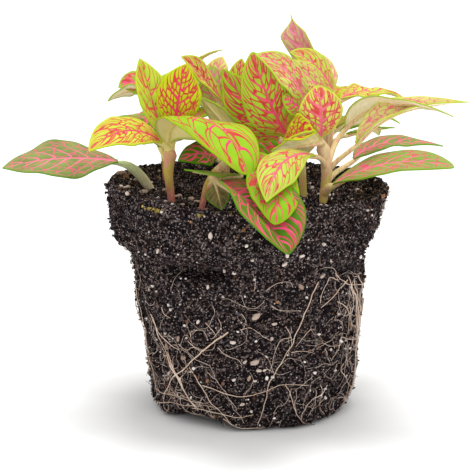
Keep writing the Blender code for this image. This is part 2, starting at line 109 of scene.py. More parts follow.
sky = bpy.data.worlds.new("light_tent")
sky.use_nodes = True
sky_shader = sky.node_tree.nodes["Background"]
sky_shader.inputs["Color"].default_value = (1, 1, 1, 1)
sky_shader.inputs["Strength"].default_value = SKY_STRENGTH
bpy.context.scene.world = sky

for name, turn, softness, strength in LAMPS:
    rotation = [math.radians(part) for part in turn]
    bpy.ops.object.light_add(type="SUN", location=LAMP_PLACE, rotation=rotation)
    lamp = bpy.context.object
    lamp.name = name
    lamp.data.energy = strength
    lamp.data.angle = math.radians(softness)
bpy.context.scene.view_settings.view_transform = "Standard"
print("floor, sky and", len(LAMPS), "lamps are in place")

# %% [markdown]
# ## Writing finishes as sums
#
# A finish is a web of shader nodes, which is hard to read as code. Here a wire is one node's
# output, and plus, minus, times and divide on wires add the Math nodes. Every other node comes from
# one method of the finish, which takes the node's type, its settings and what its sockets get.

# %% Wires and finishes
def plug(tree, socket, value):
    """Put a wire or a plain value into a socket."""
    if isinstance(value, Wire):
        tree.links.new(value.socket, socket)
    else:
        socket.default_value = value


class Wire:
    """One output of a shader node. Arithmetic on it adds Math nodes."""

    def __init__(self, tree, socket):
        self.tree = tree
        self.socket = socket

    def math(self, operation, *values, clamp=False):
        made = self.tree.nodes.new("ShaderNodeMath")
        made.operation = operation
        made.use_clamp = clamp
        for socket, value in zip(made.inputs, values):
            plug(self.tree, socket, value)
        return Wire(self.tree, made.outputs[0])

    def __add__(self, other):
        return self.math("ADD", self, other)

    def __sub__(self, other):
        return self.math("SUBTRACT", self, other)

    def __rsub__(self, other):
        return self.math("SUBTRACT", other, self)

    def __mul__(self, other):
        return self.math("MULTIPLY", self, other)

    def __truediv__(self, other):
        return self.math("DIVIDE", self, other)

    def __rtruediv__(self, other):
        return self.math("DIVIDE", other, self)

    def __abs__(self):
        return self.math("ABSOLUTE", self)

    def clamped(self):
        return self.math("ADD", self, 0.0, clamp=True)

    def most(self, other):
        return self.math("MAXIMUM", self, other)

    def to_nearest_whole(self):
        """The distance to the nearest whole number."""
        return self.math("PINGPONG", self, 0.5)

    __radd__ = __add__
    __rmul__ = __mul__


class Finish:
    """A material, and the methods that wire it."""

    def __init__(self, name):
        self.material = bpy.data.materials.new(name)
        self.material.use_nodes = True
        self.tree = self.material.node_tree
        self.shader = self.tree.nodes["Principled BSDF"]

    def node(self, kind, settings=None, sockets=None, output=0):
        """A node of any kind: its settings are set first, then its sockets get values or wires."""
        made = self.tree.nodes.new(kind)
        for name, value in (settings or {}).items():
            if name == "stops":
                ramp = made.color_ramp
                while len(ramp.elements) < len(value):
                    ramp.elements.new(0.5)
                for element, (place, shade) in zip(ramp.elements, value):
                    element.position = place
                    element.color = shade
            else:
                setattr(made, name, value)
        for name, value in (sockets or {}).items():
            plug(self.tree, made.inputs[name], value)
        return Wire(self.tree, made.outputs[output])

    def split(self, vector):
        """The three numbers in a vector wire."""
        made = self.tree.nodes.new("ShaderNodeSeparateXYZ")
        plug(self.tree, made.inputs[0], vector)
        return [Wire(self.tree, socket) for socket in made.outputs]

    def joined(self, x, y, z):
        """Three wires or numbers in one vector wire."""
        return self.node("ShaderNodeCombineXYZ", {}, {"X": x, "Y": y, "Z": z})

    def place(self):
        """Where a point lies, in metres."""
        return self.node("ShaderNodeTexCoord", {}, output="Object")

    def attribute(self, name):
        return self.node("ShaderNodeAttribute", {"attribute_name": name}, output="Vector")

    def blend(self, share, first, second):
        """The first colour turning into the second."""
        return self.node("ShaderNodeMix", {"data_type": "RGBA"},
                         {0: share, 6: first, 7: second}, output=2)

    def mottle(self, place, scale, detail=2.0, roughness=0.5):
        """Soft noise from 0 to 1."""
        return self.node("ShaderNodeTexNoise", {}, {
            "Vector": place, "Scale": scale, "Detail": detail, "Roughness": roughness})

    def finish(self, surface, roughness, height, depth=0.0002, strength=0.5, shine=0.2, glow=0.0):
        """Wire the shader's colour, roughness and bump. A shine of 0.5 is that of bare plastic. The
        glow is
        painted light: the surface's own colour is given off as a faint emission, so the piece glows
        without a lamp, standing in for light that comes through a thin piece and lifting its shaded
        parts."""
        bump = self.node("ShaderNodeBump", {},
                         {"Height": height, "Distance": depth, "Strength": strength})
        given = {"Base Color": surface, "Roughness": roughness, "Normal": bump,
                 "Specular IOR Level": shine}
        # painted light: the surface colour is also given off as emission, a glow without a lamp
        if glow > 0:
            given.update({"Emission Color": surface, "Emission Strength": glow})
        for name, value in given.items():
            plug(self.tree, self.shader.inputs[name], value)
        return self.material


def colour(red, green, blue):
    """A colour given as it looks on a screen, from 0 to 255, in the renderer's linear scale."""
    shares = np.array([red, green, blue]) / 255
    linear = np.where(shares <= 0.04045, shares / 12.92, ((shares + 0.055) / 1.055) ** 2.4)
    return (*(float(value) for value in linear), 1.0)


print("a wire adds up:", Wire.__add__.__name__, Wire.__rmul__.__name__)

# %% [markdown]
# ## How pieces are finished off
#
# Each finished piece has its place in its mesh, moves with the imported model's only body, and hides
# the node whose place it takes. The same few lines do that for every piece.

# %% Handing a piece over
def hand_over(piece, name, node):
    """Name a piece, let it ride on the frame and hide the node whose place it takes."""
    bpy.context.view_layer.update()
    piece.data.transform(piece.matrix_world)
    piece.matrix_world.identity()
    piece.name = name
    piece.data.name = name
    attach(piece, "root")
    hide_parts(node)
    return piece


def select(pieces):
    """Leave only these objects selected, with the first of them active."""
    bpy.ops.object.select_all(action="DESELECT")
    for piece in pieces:
        piece.select_set(True)
    bpy.context.view_layer.objects.active = pieces[0]


def new_piece(name, data):
    """A mesh or a curve as an object in the scene."""
    made = bpy.data.objects.new(name, data)
    bpy.context.scene.collection.objects.link(made)
    return made


def join_all(pieces):
    """Join several objects into the first."""
    select(pieces)
    if len(pieces) > 1:
        bpy.ops.object.join()
    return bpy.context.object


def along_all(points, steps):
    """Points along a smooth curve through the given points."""
    points = np.asarray(points, float)
    ends = np.concatenate([[2 * points[0] - points[1]], points, [2 * points[-1] - points[-2]]])
    path = []
    for before, start, end, after in zip(ends, ends[1:], ends[2:], ends[3:]):
        for t in np.arange(steps) / steps:
            path.append(0.5 * (2 * start + (end - before) * t
                               + (2 * before - 5 * start + 4 * end - after) * t ** 2
                               + (3 * start - before - 3 * end + after) * t ** 3))
    return np.array(path + [points[-1]])


def tubes(name, runs, finishes, sides):
    """One mesh of round tubes. Each run is its points and its radii in mm, and its finish's number."""
    curve = bpy.data.curves.new(name, "CURVE")
    curve.dimensions = "3D"
    curve.bevel_depth = MM
    curve.bevel_resolution = sides
    curve.use_fill_caps = True
    for finish in finishes:        # before the runs, because a run's number has to find its finish
        curve.materials.append(finish)
    for points, radii, number in runs:
        places = np.column_stack([np.asarray(points) * MM, np.ones(len(points))])
        run = curve.splines.new("POLY")
        run.points.add(len(points) - 1)
        run.points.foreach_set("co", places.ravel())
        run.points.foreach_set("radius", np.asarray(radii, float))
        run.material_index = number
        run.use_smooth = True
    select([new_piece(name, curve)])
    bpy.ops.object.convert(target="MESH")
    return bpy.context.object


# %% [markdown]
# ## What each leaf is
#
# A nerve plant carries its leaves in pairs on short stems, and each leaf bends its own way. A leaf is
# described by where its blade starts, what its midrib passes on the way and where it ends, which way
# its upper side looks, how wide it is and how it folds. The frame's solids were placed in the same way,
# so the fine leaf lies where the solid lies, or within a few millimetres. A few more numbers say how it
# is coloured: how young it is, how pink its veins are, how wide the meshes of its net are, and how far
# its colours are washed out.

# %% Leaves and stems
UP = (0.0, 0.0, 1.0)


@dataclass
class Leaf:
    """A leaf by its midrib, in millimetres."""

    node: float          # height on the stem where the stalk leaves it
    spine: list          # what the blade's midrib passes, evenly spread, from its base to its tip
    width: float
    looks: tuple         # youth and pinkness from 0 to 1, and the size of the net's meshes
    face: tuple = UP     # the way the upper side looks at the base
    face_tip: tuple = None
    fold: float = 8.0    # how far each half is lifted to the upper side, in degrees
    fold_tip: float = None
    roll: float = 0.10
    wave: float = 0.08
    peak: float = 0.42   # where along the blade it is widest
    heel: float = 0.75   # how wedge-like its base is
    point: float = 0.9   # how drawn out its tip is
    turn: float = 1.0    # below one, the face turns early
    grain: float = 1.0   # above one, the net is drawn out along the blade that many times
    sweep: tuple = (0.26, 0.12)   # how far its ribs climb, evenly and near the margin
    pale: float = 0.15   # how washed out its colours are, from 0 to 1
    back: float = 0.6    # its underside, from brown at 0 to cream at 1


@dataclass
class Stem:
    """A stem by its axis above the soil, in millimetres."""

    name: str
    points: list
    radius: float
    leaves: list


STEMS = [
    Stem("left", [(-27, -15, 80), (-28, -15, 90), (-27, -15, 98)], 1.8, [
        Leaf(97, [(-30, -17, 101), (-42.5, -26, 106.5), (-54.5, -37, 101.5)], 15.5, (0.82, 0.90, 2.1),
             (0.1, -0.7, 0.9), (-0.3, -0.8, 0.8), peak=0.5, heel=0.9, point=0.8, pale=0.3),
        Leaf(96, [(-27.5, -13, 97.5), (-23.5, -18, 109.5), (-10.7, -31, 109.3), (0, -44, 94.5)], 23,
             (0.58, 1.10, 4.4), (0.2, 0.9, 0.1), (0.1, -0.6, 0.8), fold=-42, fold_tip=6, peak=0.58,
             heel=0.9, point=0.5, turn=0.7, sweep=(0.04, 0.26), pale=0.1, back=0.78),
        Leaf(97, [(-25.5, -12, 105), (-24, -13, 118), (-21.5, -12, 128)], 16, (0.80, 1.00, 1.4),
             (0.0, -1.0, 0.2), fold=6, heel=0.6, peak=0.42, pale=0.05),
        Leaf(95, [(-30.5, -11, 103), (-34.5, -6, 116), (-38.5, 1, 128)], 16, (0.74, 0.55, 2.8),
             (0.6, -1.0, 0.1), fold=30, pale=0.25),
        Leaf(91, [(-31, -9, 98), (-36, 0, 104), (-43, 10, 104)], 11, (0.20, 0.90, 1.8),
             (0.0, -0.1, 1.0), pale=0.1, back=0.4),
    ]),
    Stem("low_left", [(-35, 6, 79), (-36, 6, 80)], 1.0, [
        Leaf(79, [(-46.5, 0, 91), (-67, -6, 93), (-87, -11, 90.5)], 17, (0.15, 0.60, 2.2),
             (0.0, -0.6, 0.8), fold=2, wave=0.2, peak=0.47, heel=0.9, pale=0.4, grain=2.2),
    ]),
    Stem("front", [(-16, -27, 80), (-14, -25, 87), (-10, -23, 93)], 1.4, [
        Leaf(89, [(-9.5, -32, 90), (3, -52, 83.5), (13.5, -62, 71)], 30, (0.16, 1.15, 3.4),
             (0.36, -0.55, 0.8), fold=36, peak=0.66, point=0.7, pale=0.05),
        Leaf(92, [(2, -32, 100.5), (8.5, -49, 91.5), (8.5, -61, 81)], 17.5, (0.46, 0.80, 2.8),
             (0.1, -0.7, 0.6), fold=4, peak=0.48, point=0.65, pale=0.05),
        Leaf(87, [(-3, -29, 92), (-12, -33, 93), (-22, -36, 95)], 10, (0.20, 0.40, 2.2),
             (0.0, 0.1, 1.0), fold=2, pale=0.2, back=0.45),
        Leaf(86, [(-11, -27, 89), (-10, -31, 85), (-9, -33, 80)], 10, (0.05, 0.30, 2.2),
             (0.2, 0.9, 0.3), fold=2, pale=0.1, back=0.1),
    ]),
    Stem("centre_left", [(-8, 8, 80), (-7, 7, 95), (-6, 7, 106)], 1.5, [
        Leaf(104, [(-8, 6, 110.5), (-16, 3, 120.5), (-23.5, -1, 129)], 10.5, (0.80, 0.95, 1.7),
             (0.6, -0.6, 0.8), fold=25, peak=0.66, heel=1.1, pale=0.45),
        Leaf(98, [(-5, -4, 101.5), (-10, -6, 108), (-16.5, -6, 115)], 9, (0.50, 0.40, 2.2),
             (0.2, 0.8, 0.5), fold=4, peak=0.4, pale=0.2, back=0.6),
        Leaf(105, [(-11, 8, 111), (-12, 8, 117), (-13, 9, 124)], 12, (0.60, 0.85, 2.2),
             (0.1, -1.0, 0.4), fold=6, point=0.7, pale=0.7),
        Leaf(105, [(-19, 12, 125), (-15, 11, 128), (-9, 9, 130)], 5, (0.90, 0.90, 1.8),
             (-0.3, 0.1, 1.0), (0.0, 0.1, 1.0), fold=4, pale=1.2, back=0.9),
        Leaf(103, [(-12, 14, 114), (-11, 16, 121), (-9, 19, 126)], 9, (0.95, 0.50, 1.8),
             (0.0, -0.9, 0.4), fold=4, pale=1.0, back=0.8),
        Leaf(106, [(-3, 11, 113), (-3, 13, 120), (-2, 15, 126)], 8, (0.84, 0.80, 1.7), (0.0, -1.0, 0.3),
             fold=4, pale=0.35),
        Leaf(86, [(-11, 4, 91.5), (-17, 1, 93.5), (-25, -3, 91.5)], 12.5, (0.12, 0.55, 2.2),
             (0.0, -0.6, 0.8), fold=4, pale=0.0, back=0.3),
        Leaf(90, [(-1, 4, 94), (6.5, 6, 98), (16, 8, 94.5)], 15, (0.30, 0.80, 2.2), (0.0, -0.9, 0.6),
             pale=0.05),
    ]),
    Stem("centre", [(20, -6, 80), (19, -6, 92), (17, -6, 99)], 1.7, [
        Leaf(98, [(14, -9, 102), (7, -14, 116), (1.5, -11, 132)], 19, (0.66, 1.25, 2.4),
             (-0.1, -1.0, 0.25), point=0.7, pale=0.2),
        Leaf(94, [(11, -4, 100), (1, -2, 110), (-9, 3, 124)], 18, (0.62, 1.35, 2.2), (-0.2, -1.0, 0.3),
             fold=6, pale=0.15, back=0.5),
        Leaf(98, [(20.5, -8, 113), (13.5, -14, 125.5), (2.5, -17, 132)], 13, (0.70, 0.85, 1.4),
             (0.5, -0.8, 0.7), pale=0.6, grain=2.8),
        Leaf(97, [(12.5, -17, 102), (18, -21, 103.5), (23.5, -24, 105.5)], 17.5, (0.86, 0.90, 1.5),
             (0.0, -0.7, 0.7), fold=48, peak=0.6, heel=1.2, point=0.6, pale=0.1),
        Leaf(99, [(19.5, -12, 111.5), (16, -15, 114.5), (12, -17, 117)], 9, (0.58, 0.85, 1.6),
             (0.2, -1.0, 0.5), fold=4, point=0.7, pale=0.25),
    ]),
    Stem("right", [(27, -12, 80), (28, -12, 91), (26, -13, 100)], 2.0, [
        Leaf(90, [(23.5, -22, 97.5), (12, -43, 98.7), (6, -58, 88)], 14, (0.70, 1.00, 2.6),
             (0.2, -0.6, 0.9), fold=2, roll=0.2, peak=0.58, heel=1.2, pale=0.4),
        Leaf(99, [(25.5, -17, 102.5), (25.5, -20, 112), (24, -17, 121)], 15.5, (0.80, 1.05, 1.6),
             (0.0, -1.0, 0.25), peak=0.55, heel=0.85, point=0.75, pale=0.5),
        Leaf(98, [(25, -17, 101.5), (17, -21, 100.3), (8, -26, 99.5)], 17, (0.80, 0.50, 1.8),
             (0.0, 0.75, 0.7), peak=0.35, heel=0.6, pale=0.2, back=0.8),
        Leaf(91, [(35, -3, 104), (50.5, -10, 113.5), (71.5, -22, 111)], 15, (0.62, 0.50, 2.0),
             (0.0, 0.8, 0.75), (0.0, 0.4, 1.0), fold=6, peak=0.34, point=1.2, pale=0.7, back=1.0),
        Leaf(89, [(38, -14, 100), (48, -13, 108.5), (60.5, -11, 112.5), (78, -9, 114)], 13,
             (0.78, 0.60, 1.8), (-0.2, -0.4, 1.0), fold=40, peak=0.38, point=1.1, pale=1.0, back=1.0,
             grain=2),
        Leaf(81, [(30, -16, 86), (50, -27, 95.5), (70.5, -38, 96)], 16, (0.32, 0.85, 2.2),
             (-0.1, -0.4, 1.0), wave=0.04, heel=0.9, point=0.65, pale=0.35, grain=2.4),
        Leaf(85, [(38, 0, 92), (51, 4, 97), (71, 8, 95)], 14, (0.20, 0.85, 2.0), (0.1, -0.1, 1.0),
             point=1.1, pale=0.35, grain=2.2),
    ]),
    Stem("back_right", [(29, 16, 80), (30, 15, 100), (29, 14, 111)], 1.7, [
        Leaf(110, [(28, 15, 116), (21, 15, 128.5), (15.5, 12, 142)], 13, (0.85, 1.40, 2.2),
             (-0.5, -0.8, 0.2), fold=35, peak=0.78, heel=0.6, point=3.0, pale=1.6, back=0.8),
        Leaf(109, [(31, 9, 115), (24, 6, 125), (15, 2, 130)], 12, (0.76, 0.75, 1.8), (0.4, -0.8, 0.8),
             fold=6, pale=0.45, back=0.7),
        Leaf(108, [(28.5, 4, 112), (22, -2, 121.5), (14, -6, 128)], 12, (0.72, 0.85, 1.5),
             (0.4, -0.8, 0.8), fold=6, pale=0.6, back=0.7, grain=2.4),
        Leaf(109, [(30, 17, 113), (28.5, 18, 121), (24.5, 20, 127.5)], 9.5, (0.85, 1.10, 1.9),
             (0.6, -0.8, 0.3), pale=1.3, back=0.7),
        Leaf(104, [(34, 17, 111), (46, 22, 113), (59, 26, 109)], 15, (0.78, 0.90, 2.0),
             (0.0, -0.1, 1.0), wave=0.2, pale=0.45, back=0.7),
        Leaf(92, [(36, 12, 99), (45, 15, 100), (54, 18, 100)], 11, (0.30, 0.40, 2.0), (0.0, 0.2, 0.9),
             fold=4),
    ]),
    Stem("back_left", [(-30, 20, 80), (-30.5, 20, 98), (-29.5, 19, 108)], 1.6, [
        Leaf(105, [(-34, 18, 111), (-42, 18, 114), (-51, 17, 110)], 12, (0.50, 0.40, 2.0),
             (0.1, 0.5, 1.0), fold=4, pale=0.6, back=1.1),
        Leaf(107, [(-36, 20, 114), (-41, 19, 116.5), (-47, 17, 115)], 11, (0.52, 1.00, 1.8),
             (0.1, -0.7, 0.7), fold=4, pale=0.25),
        Leaf(90, [(-33, 28, 97), (-42, 38, 101), (-51, 47, 93)], 23, (0.35, 0.60, 2.6)),
        Leaf(106, [(-25, 27, 110), (-21, 37, 116), (-19, 50, 109)], 21, (0.70, 0.60, 2.2)),
        Leaf(98, [(-22, 24, 101), (-14, 32, 104), (-4, 40, 100)], 15, (0.50, 0.60, 2.0)),
        Leaf(93, [(-24, 14, 98), (-20, 5, 102), (-17, -5, 99)], 15, (0.40, 0.60, 2.2)),
        Leaf(92, [(-33, 17, 97), (-43, 14, 101), (-54, 10, 96)], 15, (0.30, 0.60, 2.2)),
    ]),
    Stem("back", [(4, 26, 80), (3, 26, 95), (2, 25, 104)], 1.6, [
        Leaf(102, [(-3, 28, 108), (-8, 29, 115), (-13, 29, 122)], 15, (0.75, 0.70, 1.8),
             (0.5, 0.3, 0.8)),
        Leaf(100, [(-3, 32, 105), (-10, 43, 109), (-17, 54, 101)], 20, (0.65, 0.60, 2.4)),
        Leaf(101, [(6, 32, 104), (12, 43, 109), (15, 55, 103)], 19, (0.72, 0.75, 2.0)),
        Leaf(88, [(5, 35, 92), (5, 47, 93), (4, 60, 85)], 23, (0.30, 0.70, 2.8)),
        Leaf(103, [(4, 22, 109), (7, 19, 117), (9, 15, 126)], 15, (0.75, 0.70, 1.8), (0.2, 0.9, 0.4)),
        Leaf(93, [(-1, 23, 97), (-9, 20, 100), (-18, 16, 96)], 14, (0.35, 0.60, 2.2)),
    ]),
    Stem("rear_right", [(29, 31, 80), (28, 33, 92), (27, 34, 100)], 1.6, [
        Leaf(90, [(31, 40, 94), (41, 49, 97), (51, 58, 90)], 22, (0.35, 0.65, 2.6)),
        Leaf(98, [(28, 40, 104), (34, 48, 110), (41, 57, 105)], 18, (0.72, 0.70, 2.0)),
        Leaf(99, [(23, 36, 109), (18, 35, 117), (9, 35, 122)], 15, (0.78, 0.80, 1.7), (0.5, 0.3, 0.9)),
        Leaf(93, [(33, 31, 98), (44, 32, 103), (57, 33, 99)], 16, (0.50, 0.70, 2.2)),
        Leaf(94, [(22, 28, 98), (16, 24, 102), (11, 18, 103)], 13, (0.45, 0.60, 2.0)),
    ]),
]
print(len(STEMS), "stems with", sum(len(stem.leaves) for stem in STEMS), "leaves")

# %% [markdown]
# ## The shape of a blade
#
# A blade is a flat sheet first: an oval that is round at its base and drawn out to a tip. Then it is
# folded along its midrib, its margins roll back and wave, and it is bent along its own curve. The
# skin between the side ribs puffs up a little, which is what makes a nerve plant's leaf look quilted.
# In Blender that is a grid whose points are moved, because a sheet of even quads keeps the ribs
# straight and takes an even thickness later.

# %% Blade proportions
WAVES_ALONG = 1.5
WAVE_SHIFT = 1.7         # in radians, so that no two blades of a stem wave alike
STALK_HALF_WIDTH = 0.8
TIP_HALF_WIDTH = 0.12
RIB_PAIRS_PER_MM = 0.19
RIB_PAIRS = (5.0, 7.0)   # the fewest and the most
RIB_LEAN = 0.74          # how far apart two ribs are across, as a share of their distance on the midrib
RIB_STAGGER = 0.4        # how far the ribs of the two halves are out of step
RIB_COUNT_START = 20.0   # keeps the ribs' count above zero
PUFF = 0.30              # how high the skin stands between two ribs, in mm
GROOVE = 0.35            # how deep the midrib lies
GROOVE_WIDTH = 0.9
SHEET_STEP = 3.7         # how far apart the patterns of two blades lie, so that none repeats
HALF_STEP = 5.0          # the same for the two halves of a blade
GRAIN_WIDTH = 1.2        # how much narrower the meshes of a drawn-out net are
MESH_WIDTH = 1.1         # how much wider those of an even net are


def unit(vectors):
    """The vectors, each made one long."""
    vectors = np.asarray(vectors, float)
    return vectors / np.linalg.norm(vectors, axis=-1, keepdims=True)


def half_width(leaf, v):
    """Half the blade's width at the places v along it, from 0 at its base to 1 at its tip."""
    v = np.asarray(v, float)
    rise = np.sin(math.pi / 2 * np.minimum(v / leaf.peak, 1)) ** leaf.heel
    fall = np.cos(math.pi / 2 * np.clip((v - leaf.peak) / (1 - leaf.peak), 0, 1)) ** leaf.point
    least = STALK_HALF_WIDTH * (1 - v) + TIP_HALF_WIDTH * v
    return np.maximum(leaf.width / 2 * rise * fall, least)


def midrib(leaf, v):
    """The midrib's points, its directions and the way the upper side looks there."""
    v = np.asarray(v, float)
    spine = np.array(leaf.spine, float)
    powers = np.polyfit(np.linspace(0, 1, len(spine)), spine, len(spine) - 1)
    points = np.column_stack([np.polyval(powers[:, axis], v) for axis in range(3)])
    along = unit(np.column_stack([np.polyval(np.polyder(powers[:, axis]), v) for axis in range(3)]))
    share = (v ** leaf.turn)[:, None]
    face = unit(leaf.face) * (1 - share) + unit(leaf.face_tip or leaf.face) * share
    return points, along, unit(face - along * (face * along).sum(axis=1, keepdims=True))


def folds(leaf, v):
    """How far each half is lifted at the places v along the blade, in radians."""
    last = leaf.fold if leaf.fold_tip is None else leaf.fold_tip
    share = np.asarray(v, float) ** leaf.turn
    return np.radians(leaf.fold * (1 - share) + last * share)


def leaf_length(leaf):
    points = midrib(leaf, np.linspace(0, 1, 30))[0]
    return float(np.linalg.norm(np.diff(points, axis=0), axis=1).sum())


def rib_pairs(leaf):
    return float(np.clip(leaf_length(leaf) * RIB_PAIRS_PER_MM, *RIB_PAIRS))


def rib_place(leaf, u, v):
    """Where a point lies among the side ribs: a whole number is on a rib."""
    reach = np.abs(u)
    climb = leaf.sweep[0] * reach + leaf.sweep[1] * reach ** 3
    return rib_pairs(leaf) * (v - climb) + RIB_STAGGER * (u > 0) + RIB_COUNT_START


def net_place(leaf, number, x, y, ribs):
    """Where a point lies in the net between the ribs, in meshes across and along."""
    mesh_size = leaf.looks[2]
    sheet = number * SHEET_STEP + (x > 0) * HALF_STEP
    if leaf.grain > 1:
        return x / mesh_size * GRAIN_WIDTH, y / (mesh_size * leaf.grain), sheet
    rows = max(1, round(leaf_length(leaf) / rib_pairs(leaf) * RIB_LEAN / mesh_size))
    return x / mesh_size / MESH_WIDTH, ribs * rows, sheet


pairs = sorted(round(rib_pairs(leaf)) for stem in STEMS for leaf in stem.leaves)
print("the leaves have", pairs[0], "to", pairs[-1], "pairs of ribs")

# %% One blade
ACROSS = 24
ALONG = 44
BLADE_THICKNESS = 0.45
ROWS_TO_ENDS = 0.10      # how far the grid's rows are drawn to both ends, where the outline is round
RAGGED = 0.05            # how uneven the outline is, as a share of its width
FINE_WAVE = 0.35         # a second wave of the margin, as a share of the first, and how many along it
FINE_WAVES_ALONG = 3.6
PUFF_EDGE = 2.5          # how far in from the margin the puffs have their full height, in mm
PUFF_START = 1.5         # and how far out from the midrib


def blade_form(leaf, number, u, v):
    """Where a sheet's points go, in mm. One blade runs from -1 to 1 across and from 0 to 1 along. Also
    half its width at each point, and how far the point is from the margin."""
    points, along, face = midrib(leaf, v)
    side = np.cross(along, face)
    half = half_width(leaf, v)
    ragged = [noise.noise(Vector((3 * math.copysign(1, a), 7 * b, number))) for a, b in zip(u, v)]
    half = half * (1 + RAGGED * np.array(ragged) * np.minimum(1, 4 * v * (1 - v)))
    fold = folds(leaf, v)
    full, ends = 2 * math.pi, np.sin(math.pi * v)
    phase = WAVE_SHIFT * (number % 10)
    swing = np.sin(full * WAVES_ALONG * v + phase + np.sign(u)) * ends
    swing += FINE_WAVE * np.sin(full * FINE_WAVES_ALONG * v + 2.1 * phase + 2 * np.sign(u)) * ends
    lift = half * (np.abs(u) * np.sin(fold) + (leaf.wave * swing - leaf.roll) * u ** 2)
    margin = np.minimum(half * (1 - np.abs(u)), leaf_length(leaf) * (1 - v) * 0.8)
    quilt = PUFF * (0.5 - 0.5 * np.cos(full * rib_place(leaf, u, v)))
    quilt *= np.clip(margin / PUFF_EDGE, 0, 1)
    quilt *= np.clip(np.abs(u) * half / PUFF_START, 0, 1) * np.clip(v * 8, 0, 1)
    channel = GROOVE * np.exp(-(u * half / GROOVE_WIDTH) ** 2) * (1 - 0.7 * v)
    form = (points + side * (half * u * np.cos(fold))[:, None]
            + face * (lift + quilt - channel)[:, None])
    return form, half, margin


def blade(leaf, number, finishes):
    """A leaf's blade as a sheet with a thickness, and what its finish needs to know."""
    bpy.ops.object.select_all(action="DESELECT")
    bpy.ops.mesh.primitive_grid_add(x_subdivisions=ACROSS, y_subdivisions=ALONG, size=2)
    sheet = bpy.context.object
    mesh = sheet.data
    flat = np.empty(len(mesh.vertices) * 3, np.float32)
    mesh.vertices.foreach_get("co", flat)
    u, even, _ = flat.reshape(-1, 3).astype(float).T
    even = (even + 1) / 2
    v = even - ROWS_TO_ENDS * np.sin(2 * math.pi * even)
    form, half, margin = blade_form(leaf, number, u, v)
    mesh.vertices.foreach_set("co", (form * MM).astype(np.float32).ravel())
    x, y, ribs = u * half, v * leaf_length(leaf), rib_place(leaf, u, v)
    spacing = leaf_length(leaf) / rib_pairs(leaf) * RIB_LEAN
    facts = {"lie": (x, y, margin), "ribs": (ribs, v, spacing), "looks": leaf.looks,
             "sort": (number * SHEET_STEP, np.abs(u), 0), "tint": (leaf.pale, leaf.back, 0),
             "weave": net_place(leaf, number, x, y, ribs)}
    for name, values in facts.items():
        layer = mesh.attributes.new(name, "FLOAT_VECTOR", "POINT")
        values = np.column_stack(np.broadcast_arrays(*values, v)[:3])
        layer.data.foreach_set("vector", values.astype(np.float32).ravel())
    for corner, spot in zip(mesh.loops, mesh.uv_layers.active.data):
        spot.uv = ((u[corner.vertex_index] + 1) / 2, v[corner.vertex_index])
    for finish in finishes:
        mesh.materials.append(finish)
    bpy.ops.object.shade_smooth()
    body = sheet.modifiers.new("thickness", "SOLIDIFY")
    body.thickness = BLADE_THICKNESS * MM
    body.offset = 0.0
    body.material_offset = 1
    body.material_offset_rim = 0
    bpy.ops.object.modifier_apply(modifier=body.name)
    return sheet


print("a blade has", 2 * ACROSS * ALONG, "quads")

# %% [markdown]
# ## The finish of a leaf's upper side
#
# Everything that makes this plant what it is lies in its veins. From the midrib five to seven pairs of
# side ribs climb steeply towards the tip, and between them runs a net whose meshes are drawn out along
# the ribs. The thick ribs are hot pink, the thin ones ruby, the meshes between them lime on young
# leaves and deep green on old ones, and a narrow green margin is left all round. Painted by hand this
# would be 54 pictures. Here each blade carries its own measures in millimetres, and the finish draws
# the ribs from their distances and the net from the edges of a Voronoi pattern laid along the ribs.

# %% Colours of the leaves
RUBY = colour(200, 14, 62)
PINK = colour(240, 64, 118)
PALE_PINK = colour(248, 158, 184)
DEEP_GREEN = colour(50, 96, 4)
GREEN = colour(96, 156, 0)
LIME = colour(152, 196, 0)
YELLOW_LIME = colour(214, 208, 22)
MARGIN_GREEN = colour(80, 136, 16)
MARGIN_LIME = colour(174, 194, 14)
WASHED = colour(226, 208, 158)


def line(distance, half, softness=0.06):
    """A line's strength, from its distance and half its width in millimetres."""
    return ((half + softness - distance) / (2 * softness)).clamped()


def leaf_measures(leaf):
    """The wires that carry a blade's own measures, by name, and two that wander round zero on it, in
    wide and in short swings."""
    its = {}
    for name, parts in {"lie": ("x", "y", "margin"), "ribs": ("ribs", "v", "spacing"),
                        "looks": ("youth", "pinkness", "mesh_size"), "sort": ("number", "reach", ""),
                        "tint": ("pale", "back", "")}.items():
        its.update(zip(parts, leaf.split(leaf.attribute(name))))
    its["spot"] = leaf.joined(its["x"], its["y"], its["number"])
    its["wander"] = leaf.mottle(its["spot"], 0.35, 3.0) - 0.5
    its["shiver"] = leaf.mottle(its["spot"], 1.1, 2.0) - 0.5
    return its


def off_ribs(its, wander_share, shiver_share):
    """How far a point is from the nearest side rib, in millimetres."""
    ribs = its["ribs"] + its["wander"] * wander_share + its["shiver"] * shiver_share
    return ribs.to_nearest_whole() * its["spacing"]


def off_nets(leaf, its):
    """How far a point is from the nearest thin vein, in millimetres."""
    across, along, sheet = leaf.split(leaf.attribute("weave"))
    mesh_size = its["mesh_size"]
    place = leaf.joined(across + its["shiver"] * 0.25 / mesh_size,
                        along + its["wander"] * 0.6 / mesh_size, sheet)
    cells = leaf.node("ShaderNodeTexVoronoi", {"feature": "DISTANCE_TO_EDGE"},
                      {"Vector": place, "Scale": 1.0, "Randomness": 0.8})
    return cells * mesh_size


